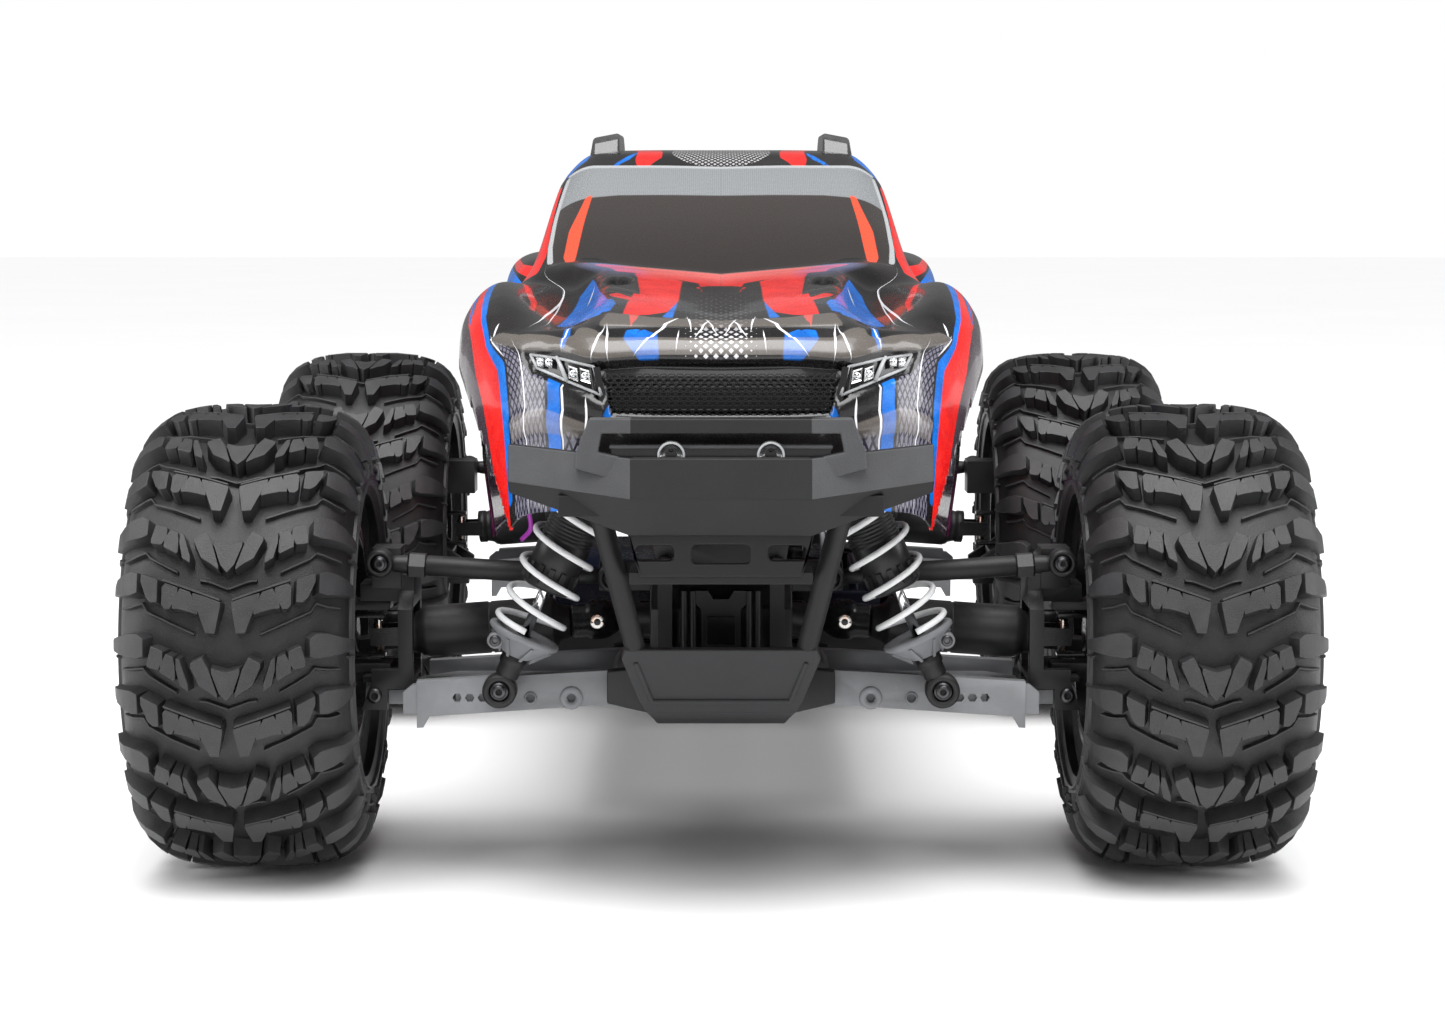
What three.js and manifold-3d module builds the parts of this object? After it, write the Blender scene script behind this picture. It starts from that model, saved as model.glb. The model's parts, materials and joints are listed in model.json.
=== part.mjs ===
// A tenth-scale electric monster truck: chassis, gearboxes, double-link suspension, oil shocks, steering,
// drive line, bumpers and a lift-off body shell. Millimetres, +Z up, the nose points along -Y.
// The origin is on the ground under the middle of the wheelbase.
import * as THREE from "three";
import { mergeVertices } from "three/addons/utils/BufferGeometryUtils.js";
import Module from "manifold-3d";

const wasm = await Module();
wasm.setup();

// ---- Driving dimensions ----
const WHEELBASE = 311;
const AXLE_Y = WHEELBASE / 2;
const BUMPER_Y = 262.5; // half of the overall length
const TYRE_R = 73;
const TYRE_W = 72;
const TYRE_X = 145; // middle of the tread from the centre line
const RIM_R = 34.6;
const TYRE_SIDES = 26;
const GAP = 0.3; // running and resting clearance between pieces

// Suspension pivots of one corner, seen from the end of the truck: [distance from the centre line, height].
const ARM_IN = [30, 62];
const ARM_OUT = [108, 56];
const LINK_IN = [34, 93];
const LINK_OUT = [106, 97.5];
const DRIVE_IN = [38, 78];
const DRIVE_OUT = [108, 73];
const SHOCK_TOP = [28.5, 148];
const SHOCK_FOOT = [67.7, 60.5];
const TOE_IN = [24, 77.5];
const TOE_OUT = [106, 74.5];

// Distances along the truck from the axle of a corner; negative is towards the nearer bumper.
const SHOCK_Y = -32;
const LINK_Y = -13;
const TOE_Y = 26;
const ARM_HALF = 24; // half of an arm's length along its hinge pin

const SHAFT_Z = 75; // height of the centre driveshaft
const SPUR_Y = 112;
const GEAR_MODULE = 1.1;
const SPUR_TEETH = 30;
const PINION_TEETH = 10;
const MOTOR_ANGLE = THREE.MathUtils.degToRad(10);
const FLOOR_Z = 50; // underside of the chassis

// ---- Small tools ----
const solidOf = (geometry) => {
  const bare = geometry.clone();
  bare.deleteAttribute("normal");
  bare.deleteAttribute("uv");
  const merged = mergeVertices(bare, 1e-4);
  return new wasm.Manifold(
    new wasm.Mesh({
      numProp: 3,
      vertProperties: new Float32Array(merged.attributes.position.array),
      triVerts: new Uint32Array(merged.index.array),
    }),
  );
};

const geometryOf = (solid) => {
  const { numProp, numVert, vertProperties, triVerts } = solid.getMesh();
  const positions = new Float32Array(numVert * 3);
  for (let i = 0; i < numVert; i++) {
    positions.set(vertProperties.subarray(i * numProp, i * numProp + 3), i * 3);
  }
  return new THREE.BufferGeometry()
    .setAttribute("position", new THREE.BufferAttribute(positions, 3))
    .setIndex(new THREE.BufferAttribute(triVerts, 1));
};

const join = (...geometries) => geometryOf(geometries.map(solidOf).reduce((all, one) => all.add(one)));
const cut = (geometry, ...tools) =>
  geometryOf(tools.map(solidOf).reduce((left, tool) => left.subtract(tool), solidOf(geometry)));
const common = (a, b) => geometryOf(solidOf(a).intersect(solidOf(b)));

// A box from its limits on each axis.
const box = ([x0, x1], [y0, y1], [z0, z1]) =>
  new THREE.BoxGeometry(x1 - x0, y1 - y0, z1 - z0).translate((x0 + x1) / 2, (y0 + y1) / 2, (z0 + z1) / 2);

// Turns a shape made along +Y from the origin so that it runs from one point towards another.
const alongLine = (geometry, from, to) => {
  const start = new THREE.Vector3(...from);
  const direction = new THREE.Vector3(...to).sub(start).normalize();
  const turn = new THREE.Quaternion().setFromUnitVectors(new THREE.Vector3(0, 1, 0), direction);
  return geometry.applyQuaternion(turn).translate(...start.toArray());
};

const rod = (from, to, radius, sides = 10, endRadius = radius) => {
  const length = new THREE.Vector3(...from).distanceTo(new THREE.Vector3(...to));
  const made = new THREE.CylinderGeometry(endRadius, radius, length, sides).translate(0, length / 2, 0);
  return alongLine(made, from, to);
};

// A turned shape: profile points are [radius, distance along the line].
const turned = (profile, from, to, sides = 20) =>
  alongLine(new THREE.LatheGeometry(profile.map((p) => new THREE.Vector2(...p)), sides), from, to);

const shapeOf = (points) => new THREE.Shape(points.map((p) => new THREE.Vector2(...p)));
const prism = (points, [low, high]) =>
  new THREE.ExtrudeGeometry(shapeOf(points), { depth: high - low, bevelEnabled: false }).translate(0, 0, low);
const plate = (points, span, holes) => {
  const through = [span[0] - 1, span[1] + 1];
  return holes ? cut(prism(points, span), ...holes.map((hole) => prism(hole, through))) : prism(points, span);
};

// Plates: an outline seen from the front (x, z), from the side (y, z) or from above (x, y).
const frontPlate = (points, [y0, y1], holes) => plate(points, [-y1, -y0], holes).rotateX(Math.PI / 2);
const sidePlate = (points, span, holes) =>
  plate(points, span, holes).applyMatrix4(new THREE.Matrix4().set(0, 0, 1, 0, 1, 0, 0, 0, 0, 1, 0, 0, 0, 0, 0, 1));
const topPlate = plate;

const mirrored = (points) => [...points, ...points.map(([x, v]) => [-x, v]).reverse()];

const circle = (x, v, radius, sides = 10) =>
  Array.from({ length: sides }, (_, i) => {
    const a = (2 * Math.PI * i) / sides;
    return [x + radius * Math.cos(a), v + radius * Math.sin(a)];
  });

const at = ([x, z], y) => [x, y, z];

// A closed surface over rings of points, all with the same count; the ends are closed by fans from one corner.
const lofted = (rings, fanCorner = 0) => {
  const count = rings[0].length;
  const positions = rings.flat(2);
  const faces = [];
  for (let r = 0; r + 1 < rings.length; r++) {
    for (let i = 0; i < count; i++) {
      const a = r * count + i;
      const b = r * count + ((i + 1) % count);
      faces.push(a, b, b + count, a, b + count, a + count);
    }
  }
  const last = (rings.length - 1) * count;
  for (let k = 1; k + 1 < count; k++) {
    const i = (fanCorner + k) % count;
    const j = (fanCorner + k + 1) % count;
    faces.push(fanCorner, j, i, last + fanCorner, last + i, last + j);
  }
  return new THREE.BufferGeometry()
    .setAttribute("position", new THREE.Float32BufferAttribute(positions, 3))
    .setIndex(faces);
};

// ---- Materials ----
const plastic = (color, roughness = 0.6) => new THREE.MeshStandardMaterial({ color, roughness, metalness: 0 });
const metal = (color, roughness = 0.3) => new THREE.MeshStandardMaterial({ color, roughness, metalness: 1 });
const black = plastic(0x141415);
const grey = plastic(0x8a8c8f, 0.5);
const rubber = plastic(0x1a1a1b, 0.85);
const steel = metal(0xb8b8bc);
const springWhite = plastic(0xe4e5e6, 0.35);
const paint = plastic(0xd0262b, 0.15);
const bumperGrey = plastic(0x3a3b3d, 0.7);

const truck = new THREE.Group();

const add = (parent, name, geometry, material) => {
  const mesh = new THREE.Mesh(geometry, material);
  mesh.name = name;
  parent.add(mesh);
};

// ---- Wheels ----
// The flats of the tread lie on the tyre's radius, so that the truck stands on a flat.
function tyre() {
  const half = TYRE_W / 2;
  const profile = [
    [35, -27], [44, -34.5], [56, -half], [68, -32], [TYRE_R, -12],
    [TYRE_R, 12], [68, 32], [56, half], [44, 34.5], [35, 27],
    [54, 32], [68.5, 12], [68.5, -12], [54, -32], [35, -27],
  ].map(([r, x]) => [r / Math.cos(Math.PI / TYRE_SIDES), x]);
  return turned(profile, [TYRE_X, 0, TYRE_R], [TYRE_X + 1, 0, TYRE_R], TYRE_SIDES).applyMatrix4(
    aboutWheelAxis(Math.PI / TYRE_SIDES),
  );
}

const aboutWheelAxis = (angle) =>
  new THREE.Matrix4()
    .makeTranslation(0, 0, TYRE_R)
    .multiply(new THREE.Matrix4().makeRotationX(angle))
    .multiply(new THREE.Matrix4().makeTranslation(0, 0, -TYRE_R));

// The rim with its drive hex, stub axle and the fork of the outer universal joint.
function wheel() {
  const rim = turned(
    [
      [0, -8], [8.5, -8], [8.5, 0], [31.5, 8], [31.5, -30], [36, -30], [36, -28.3], [RIM_R, -27.2],
      [RIM_R, 27.2], [36, 28.3], [36, 30], [31.5, 30], [31.5, 13], [9, 8], [6, 16], [0, 16],
    ],
    [TYRE_X, 0, TYRE_R],
    [TYRE_X + 1, 0, TYRE_R],
    18,
  );
  const windows = Array.from({ length: 6 }, (_, i) =>
    rod([TYRE_X, 0, TYRE_R + 21], [TYRE_X + 20, 0, TYRE_R + 21], 5.5, 6).applyMatrix4(
      aboutWheelAxis((i * Math.PI) / 3),
    ),
  );
  const [forkX, forkZ] = DRIVE_OUT;
  const stub = rod([forkX + 8.5, 0, TYRE_R], [TYRE_X - 6, 0, TYRE_R], 4);
  const forkBase = rod([forkX + 6.7, 0, TYRE_R], [forkX + 9, 0, TYRE_R], 7);
  const ears = [-1, 1].map((up) => {
    const heights = [forkZ + up * 5.7, forkZ + up * 7].sort((a, b) => a - b);
    return box([forkX - 2, forkX + 7], [-2.6, 2.6], heights);
  });
  return join(cut(rim, ...windows), stub, forkBase, ...ears);
}

// ---- Hubs ----
function bearingHousing() {
  const [x] = DRIVE_OUT;
  return rod([x + 10, 0, TYRE_R], [x + 17.5, 0, TYRE_R], 11, 16);
}

const bearingBore = () => rod([DRIVE_OUT[0] + 5, 0, TYRE_R], [TYRE_X, 0, TYRE_R], 4 + GAP, 12);

// Two ears on the arm's outer hinge pin, either side of the arm's barrel.
function hingeEars(reach, top) {
  const [x, z] = ARM_OUT;
  return [-1, 1].map((side) => {
    const span = [side * 10.6, side * 15].sort((a, b) => a - b);
    return frontPlate([[x - 4, z - 4.5], [x + 4, z - 4.5], [x + reach, z + 7], [x + reach, z + top], [x - 4, z + 4]], span);
  });
}

// The post that carries the camber link's outer ball.
function linkPost(x0, x1, zFrom) {
  const [x, z] = LINK_OUT;
  return box([x0, x1], [LINK_Y + 4, 4], [zFrom, z + 4]);
}

function steeringKnuckle() {
  const [x, z] = DRIVE_OUT;
  const prongs = [-1, 1].map((up) => {
    const heights = [z + up * 8.5, z + up * 11.3].sort((a, b) => a - b);
    return box([x - 4, x + 13], [-5, 5], heights);
  });
  const steeringArm = topPlate(
    [[x + 10, 6], [x + 14, 6], [x + 14, 14], [TOE_OUT[0] + 4, TOE_Y + 4], [TOE_OUT[0] - 4, TOE_Y + 4],
      [TOE_OUT[0] - 4, TOE_Y - 4], [x + 8, 12]],
    [TOE_OUT[1] - 9, TOE_OUT[1] - 4.9],
  );
  return cut(join(bearingHousing(), ...prongs, steeringArm), bearingBore());
}

// A C-shaped block: its lower ears hang on the arm, and the knuckle turns between its two flanges.
function casterBlock() {
  const [x, z] = DRIVE_OUT;
  const wall = sidePlate(
    [[-15, 60], [15, 60], [15, 90], [9, 93], [-7.5, 93], [-7.5, 88], [-15, 83]],
    [x - 12, x - 7.5],
    [[[-11, z - 11.5], [11, z - 11.5], [11, z + 10], [-11, z + 10]]],
  );
  const topFlange = box([x - 10, x + 5], [-7, 7], [z + 11.3 + GAP, z + 17]);
  const foot = box([x - 12, x + 4], [-11, 11], [59.7, z - 11.3 - GAP]);
  const earLinks = [-1, 1].map((side) => {
    const span = [side * 10.4, side * 15].sort((a, b) => a - b);
    return box([x - 12, x + 1], span, [58, 64]);
  });
  return join(wall, topFlange, foot, ...earLinks, ...hingeEars(0, 8), linkPost(x - 8, x + 1, z + 16));
}

function axleCarrier() {
  const [x] = DRIVE_OUT;
  const spine = box([x + 10, x + 15], [-9, 9], [60, 92]);
  const bridge = box([x + 3, x + 14], [-15, 15], [61.5, 65]);
  const head = box([x - 6, x + 14], [LINK_Y + 4, 6], [88, LINK_OUT[1] + 4]);
  return cut(join(bearingHousing(), spine, bridge, head, ...hingeEars(8, 12)), bearingBore());
}

// ---- Suspension ----
function lowerArm() {
  const [xi, zi] = ARM_IN;
  const [xo, zo] = ARM_OUT;
  const innerBarrel = rod([xi, -ARM_HALF, zi], [xi, ARM_HALF, zi], 4.2);
  const outerBarrel = rod([xo, -10, zo], [xo, 10, zo], 3.4);
  const beamOutline = [
    [xi, zi - 7], [xi + 40, zi - 10], [90, 51], [92, 47.5], [103, 47], [104, 52], [104, 60.5], [98, 61.6],
    [xi + 20, 64.6], [xi, zi + 3.6],
  ];
  const shockHoles = [46.2, 58.8, 73.7, 77.6, 81.5].map((x) => circle(x, 56.8, 1.45, 6));
  const beams = [
    frontPlate(beamOutline, [-ARM_HALF, -ARM_HALF + 5], shockHoles),
    frontPlate(beamOutline, [ARM_HALF - 5, ARM_HALF]),
  ];
  const floor = topPlate(
    [[xi + 2, -ARM_HALF + 2], [82, -ARM_HALF + 2], [94, -9.5], [94, 9.5], [82, ARM_HALF - 2], [xi + 2, ARM_HALF - 2]],
    [54, 58.5],
    [
      [[44, -14], [58, -14], [58, 14], [44, 14]],
      [[64, -14], [79, -14], [86, -8], [86, 8], [79, 14], [64, 14]],
    ],
  );
  const hubRoom = [-1, 1].map((side) => {
    const span = [side * 9.9, side * 30].sort((a, b) => a - b);
    return box([94, 116], span, [40, 70]);
  });
  const narrowed = cut(join(...beams, floor, innerBarrel), ...hubRoom);
  const neck = box([88, xo - 1], [-9.9, 9.9], [52.5, 57]);
  return join(narrowed, neck, outerBarrel);
}

function camberLink() {
  const [xi, zi] = LINK_IN;
  const [xo, zo] = LINK_OUT;
  const point = (share) => at([xi + (xo - xi) * share, zi + (zo - zi) * share], LINK_Y);
  const eyes = [LINK_IN, LINK_OUT].map((p) => rod(at(p, LINK_Y - 3.5), at(p, LINK_Y + 3.5), 4.4));
  const tube = rod(point(0.16), point(0.82), 3.25, 8);
  const shank = rod(point(0.02), point(0.98), 2.4, 6);
  const hex = rod(point(0.8), point(0.88), 4.1, 6);
  return join(tube, shank, hex, ...eyes);
}

// The inner universal joint: it swings with the suspension about the gearbox's output.
function driveJoint() {
  const inner = at(DRIVE_IN, 0);
  const outer = at(DRIVE_OUT, 0);
  return turned(
    [[0, -6.4], [4.4, -5], [6.4, -1.5], [6.4, 3], [5.4, 6], [5.4, 9], [0, 9]],
    inner,
    outer,
    12,
  );
}

// The sliding half shaft with the cross of the outer universal joint.
function halfShaft() {
  const inner = new THREE.Vector3(...at(DRIVE_IN, 0));
  const outer = new THREE.Vector3(...at(DRIVE_OUT, 0));
  const length = inner.distanceTo(outer);
  const shaft = turned(
    [[0, 9 + GAP], [5, 9 + GAP], [6, 13], [8.2, 15], [8.2, 55], [6.8, 57], [6.2, length - 9.5], [4, length - 7], [0, length - 7]],
    inner.toArray(),
    outer.toArray(),
    12,
  );
  const [x, z] = DRIVE_OUT;
  const ears = [-1, 1].map((side) => {
    const span = [side * 5.2, side * 6.6].sort((a, b) => a - b);
    return box([x - 9, x + 2], span, [z - 2.4, z + 3]);
  });
  const collar = rod([x - 10.5, 0, z + 0.6], [x - 7.4, 0, z + 0.5], 6.6);
  const cross = [rod([x, -6, z], [x, 6, z], 1.5, 8), rod([x, 0, z - 5.1], [x, 0, z + 5.1], 1.5, 8)];
  return join(shaft, collar, ...ears, ...cross);
}

// ---- Shocks: distances run along the shock's axis from its foot pivot ----
const SHOCK_LENGTH = Math.hypot(SHOCK_TOP[0] - SHOCK_FOOT[0], SHOCK_TOP[1] - SHOCK_FOOT[1]);
const shockFoot = at(SHOCK_FOOT, SHOCK_Y);
const shockTop = at(SHOCK_TOP, SHOCK_Y);
const SPRING_FOOT = 20.2;
const SPRING_HEAD = 70.4;
const COLLAR = 71.5;

function shockBody() {
  const barrel = turned(
    [
      [1.9, 34.5], [7.8, 34.5], [8.6, 36], [8.6, 41.5], [8, 42], [8, COLLAR], [11.4, COLLAR], [11.4, COLLAR + 3],
      [8, COLLAR + 3], [8, 79], [9.4, 80], [9.4, 86], [5, 90], [0, 90], [0, 66], [1.9, 66], [1.9, 34.5],
    ],
    shockFoot,
    shockTop,
    12,
  );
  const neck = rod(pointOnShock(89), pointOnShock(SHOCK_LENGTH), 3.4, 8);
  const eye = rod(at(SHOCK_TOP, SHOCK_Y - 3.5), at(SHOCK_TOP, SHOCK_Y + 3.5), 5.2);
  return join(barrel, neck, eye);
}

function pointOnShock(distance) {
  const share = distance / SHOCK_LENGTH;
  return at([0, 1].map((k) => SHOCK_FOOT[k] + (SHOCK_TOP[k] - SHOCK_FOOT[k]) * share), SHOCK_Y);
}

function shockShaft() {
  const stem = turned(
    [
      [0, 2], [3.4, 2], [3.4, 12], [5.2, 13], [10, 17], [11.3, 18], [11.3, 19.6], [3, 19.6], [1.6, 20.5],
      [1.6, 53], [0, 53],
    ],
    shockFoot,
    shockTop,
    12,
  );
  const eye = rod(at(SHOCK_FOOT, SHOCK_Y - 3.6), at(SHOCK_FOOT, SHOCK_Y + 3.6), 5.3);
  return join(stem, eye);
}

class Helix extends THREE.Curve {
  constructor(radius, start, rise, turns) {
    super();
    Object.assign(this, { radius, start, rise, turns });
  }
  getPoint(t, target = new THREE.Vector3()) {
    const a = 2 * Math.PI * this.turns * t;
    return target.set(this.radius * Math.cos(a), this.start + this.rise * t, this.radius * Math.sin(a));
  }
}

function shockSpring() {
  const turns = 5.5;
  const wire = 0.9;
  const helix = new Helix(10.1, SPRING_FOOT + wire, SPRING_HEAD - SPRING_FOOT - 2 * wire, turns);
  const section = shapeOf(circle(0, 0, wire, 4));
  const spring = new THREE.ExtrudeGeometry(section, { steps: turns * 10, extrudePath: helix, bevelEnabled: false });
  return alongLine(spring, shockFoot, shockTop);
}

// ---- Steering ----
function toeLink() {
  const eyes = [TOE_IN, TOE_OUT].map(([x, z]) => rod([x, TOE_Y, z - 3], [x, TOE_Y, z + 2.6], 4, 12));
  return join(rod(at(TOE_IN, TOE_Y), at(TOE_OUT, TOE_Y), 2.5, 8), ...eyes);
}

function dragLink() {
  const bar = topPlate(
    mirrored([[TOE_IN[0] + 4, TOE_Y - 4], [TOE_IN[0] + 4, TOE_Y + 4]]),
    [TOE_IN[1] - 9, TOE_IN[1] - 5.9],
  );
  const clevis = box([-5, 5], [TOE_Y + 3, TOE_Y + 8], [TOE_IN[1] - 9, TOE_IN[1] - 5.9]);
  return join(bar, clevis);
}

// ---- One corner: x points outwards, y towards the middle of the truck ----
const FRONT = "front";
for (const [end, fore] of [[FRONT, 1], ["rear", -1]]) {
  for (const [hand, side] of [["left", 1], ["right", -1]]) {
    const corner = new THREE.Group();
    corner.position.y = -AXLE_Y * fore;
    corner.scale.set(side, fore, 1);
    truck.add(corner);
    const place = (name, geometry, material) => add(corner, `${name}_${end}_${hand}`, geometry, material);
    place("tyre", tyre(), rubber);
    place("wheel", wheel(), black);
    place("lower_arm", lowerArm(), grey);
    place("camber_link", camberLink(), black);
    place("drive_joint", driveJoint(), black);
    place("half_shaft", halfShaft(), black);
    place("shock_body", shockBody(), black);
    place("shock_shaft", shockShaft(), grey);
    place("shock_spring", shockSpring(), springWhite);
    if (end === FRONT) {
      place("caster_block", casterBlock(), black);
      place("steering_knuckle", steeringKnuckle(), black);
      place("toe_link", toeLink(), black);
    } else {
      place("axle_carrier", axleCarrier(), black);
    }
  }
}

// ---- Each end: gearbox, shock tower and bumper ----
function gearbox() {
  const hull = sidePlate(
    [[-20, 56], [20, 56], [20, 84], [14, 92], [-14, 92], [-20, 84]],
    [-22, 22],
  );
  const outputs = rod([-DRIVE_IN[0] + 7.2, 0, DRIVE_IN[1]], [DRIVE_IN[0] - 7.2, 0, DRIVE_IN[1]], 5.4, 14);
  const linkEars = box([-38, 38], [LINK_Y + 3.5 + GAP, LINK_Y + 10], [88, 97.5]);
  const pinCarriers = [-1, 1].map((side) => {
    const span = [side * (ARM_HALF + 0.6), side * (ARM_HALF + 6)].sort((a, b) => a - b);
    return frontPlate(mirrored([[20, 52.5], [ARM_IN[0] + 5, 56], [ARM_IN[0] + 5, 66], [20, 67.5]]), span);
  });
  const keel = box([-18, 18], [-ARM_HALF - 6, ARM_HALF + 6], [52.5, 58]);
  return join(hull, outputs, linkEars, keel, ...pinCarriers);
}

function shockTower() {
  const outline = mirrored([
    [0, 93], [19, 93], [21, 104], [26, 122], [37, 142], [37, 153], [24, 156], [20, 148], [0, 144],
  ].slice(1, -1));
  const window = mirrored([[11, 104], [17, 132]]);
  const sheet = frontPlate(outline, [-20.3, -15.3], [window]);
  const bridge = box([-19, 19], [-17, 12], [97.5 + GAP, 102]);
  const [x, z] = SHOCK_TOP;
  const fittings = [-1, 1].flatMap((side) => [
    rod([side * 12, -17.8, 142], [side * 12, -17.8, 168], 2.4),
    rod([side * x, -17, z], [side * x, SHOCK_Y + 3.5 + GAP, z], 3.4),
  ]);
  return join(sheet, bridge, ...fittings);
}

// One V-section bar; each station is [x, top, fold, foot], and each of these is [y, z].
function foldedBar(stations, wall) {
  return lofted(
    stations.map(([x, top, fold, foot]) => [
      [x, ...top], [x, ...fold], [x, ...foot],
      [x, foot[0] + wall, foot[1]], [x, fold[0] + wall, fold[1]], [x, top[0] + wall, top[1]],
    ]),
    4,
  );
}

function frontBumper() {
  const front = -BUMPER_Y;
  const centre = [[front + 2, 138], [front, 126.6], [front + 7, 115.5]];
  const tip = [[front + 14, 141], [front + 12, 130.5], [front + 16, 127]];
  const bar = foldedBar([[-60.4, ...tip], [-25.5, ...centre], [25.5, ...centre], [60.4, ...tip]], 4);
  const hoop = frontPlate(
    mirrored([[24, 130], [41, 135], [40.5, 140], [37, 149]]),
    [front + 3.2, front + 9.4],
    [mirrored([[25, 138.5], [34.5, 139.5], [33.5, 144.8]])],
  );
  const apron = frontPlate(
    mirrored([[23, 104], [27, 120]]),
    [front + 9, front + 12],
    [
      mirrored([[8, 107.5], [8, 112.5]]),
      [[13.5, 107.5], [22.5, 107.5], [23.5, 112.5], [13.5, 112.5]],
      [[-13.5, 112.5], [-23.5, 112.5], [-22.5, 107.5], [-13.5, 107.5]],
    ],
  );
  const tubes = [-1, 1].map((side) =>
    rod([side * 35, front + 12.5, 124], [side * 21, front + 34, 86], 3.5),
  );
  const crossTie = box([-26, 26], [front + 9, front + 26], [101.5, 105]);
  const shelf = box([-46, 46], [front + 3, front + 17], [121, 127]);
  return join(bar, hoop, apron, ...tubes, crossTie, shelf);
}

// The skid plate under the front gearbox: a bent plate, trimmed to its outline seen from the front.
function frontSkidPlate() {
  const front = -BUMPER_Y;
  const bent = sidePlate(
    [
      [front + 40, 85], [front + 38, 80.4], [front + 50, 60], [front + 68, FLOOR_Z - 1], [-AXLE_Y + 34, FLOOR_Z - 1],
      [-AXLE_Y + 34, 52.5 - GAP], [front + 70, 52.5 - GAP], [front + 54, 62], [front + 43, 80], [front + 46, 85],
    ],
    [-30, 30],
  );
  const outline = frontPlate(mirrored([[22, 45], [22, 60], [29.5, 78], [28, 82], [20, 85.5]]), [front, -AXLE_Y + 40]);
  const stem = box([-14, 14], [front + 52, -AXLE_Y - ARM_HALF - 6 - GAP], [56, 66]);
  const brace = box([-20, 20], [front + 44, -AXLE_Y - ARM_HALF - 6 - GAP], [72.5, 76]);
  return join(common(bent, outline), stem, brace);
}

function rearBumper() {
  const rear = BUMPER_Y;
  const centre = [[rear - 2, 108], [rear, 98], [rear - 6, 88]];
  const tip = [[rear - 12, 106], [rear - 10, 98], [rear - 14, 93]];
  const bar = foldedBar([[50, ...tip], [24, ...centre], [-24, ...centre], [-50, ...tip]], -4);
  const tubes = [-1, 1].map((side) => rod([side * 22, rear - 4.4, 98], [side * 15, AXLE_Y + 31, 72], 3.5));
  const keel = sidePlate(
    [[AXLE_Y - 34, FLOOR_Z - 1], [AXLE_Y + 36, FLOOR_Z - 1], [rear - 7.5, 84], [rear - 7.5, 94], [rear - 11.5, 94],
      [AXLE_Y + 34, 52.5 - GAP], [AXLE_Y - 34, 52.5 - GAP]],
    [-17, 17],
  );
  const boss = box([-18, 18], [AXLE_Y + ARM_HALF + 6 + GAP, AXLE_Y + ARM_HALF + 11], [51, 76]);
  return join(bar, keel, boss, ...tubes);
}

for (const [end, fore] of [[FRONT, 1], ["rear", -1]]) {
  const group = new THREE.Group();
  group.position.y = -AXLE_Y * fore;
  group.scale.y = fore;
  truck.add(group);
  add(group, `${end}_gearbox`, gearbox(), black);
  add(group, `${end}_shock_tower`, shockTower(), black);
}
add(truck, "front_bumper", frontBumper(), bumperGrey);
add(truck, "front_skid_plate", frontSkidPlate(), bumperGrey);
add(truck, "rear_bumper", rearBumper(), bumperGrey);
const steeringGroup = new THREE.Group();
steeringGroup.position.y = -AXLE_Y;
truck.add(steeringGroup);
add(steeringGroup, "drag_link", dragLink(), black);

// ---- Chassis and what it carries ----
const MOTOR_X = GEAR_MODULE * 0.5 * (SPUR_TEETH + PINION_TEETH) * Math.cos(MOTOR_ANGLE);
const MOTOR_Z = SHAFT_Z + GEAR_MODULE * 0.5 * (SPUR_TEETH + PINION_TEETH) * Math.sin(MOTOR_ANGLE);
const BATTERY = [[-58, -12], [-66, 72], [FLOOR_Z + 4, FLOOR_Z + 29]];

function chassis() {
  const end = AXLE_Y - ARM_HALF - 10.2;
  const rightSide = [[30, -end], [30, -100], [64, -84], [64, 84], [46, 100], [46, end]];
  const outline = mirrored(rightSide);
  const tub = topPlate(outline, [FLOOR_Z, 70]);
  const batteryBay = box([-60.5, -9.5], [-70, 76], [FLOOR_Z + 3.5, 90]);
  const electronicsBay = topPlate([[9.5, -end - 1], [27.5, -end - 1], [27.5, -98], [61, -82], [61, 82], [43, 98], [43, end + 1], [9.5, end + 1]],
    [FLOOR_Z + 3.5, 90]);
  const tunnel = box([-6.5, 6.5], [-end - 1, end + 1], [FLOOR_Z + 3.5, 90]);
  const frontBay = box([-27, -9.5], [-end - 1, -74], [FLOOR_Z + 3.5, 90]);
  const gearBay = box([-20, 20], [SPUR_Y - 10, end + 1], [FLOOR_Z + 3.5, 90]);
  const motorBay = box([5, 45], [SPUR_Y - 60, SPUR_Y - 8], [FLOOR_Z + 3.5, 90]);
  return cut(tub, batteryBay, electronicsBay, tunnel, frontBay, gearBay, motorBay);
}

// A spur gear seen along Y. The teeth are trapezia, thinner than half of the pitch to leave backlash.
function toothedOutline(teeth, phase) {
  const pitchRadius = (GEAR_MODULE * teeth) / 2;
  const step = (2 * Math.PI) / teeth;
  const corners = [[-0.3, -1.05], [-0.13, 0.75], [0.13, 0.75], [0.3, -1.05]];
  return Array.from({ length: teeth }, (_, i) =>
    corners.map(([share, height]) => {
      const a = phase + (i + share) * step;
      const r = pitchRadius + height * GEAR_MODULE;
      return [r * Math.cos(a), r * Math.sin(a)];
    }),
  ).flat();
}

// Both gears are turned so that a tooth of the spur gear points at a gap of the pinion.
function centreShaft() {
  const teeth = frontPlate(toothedOutline(SPUR_TEETH, MOTOR_ANGLE), [SPUR_Y - 3, SPUR_Y + 3]);
  const reach = AXLE_Y - 20 - 0.8;
  const shaft = rod([0, -reach, 0], [0, reach, 0], 3, 10);
  const clutch = rod([0, SPUR_Y - 9, 0], [0, SPUR_Y + 7, 0], 9, 12);
  return join(teeth, shaft, clutch).translate(0, 0, SHAFT_Z);
}

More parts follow.
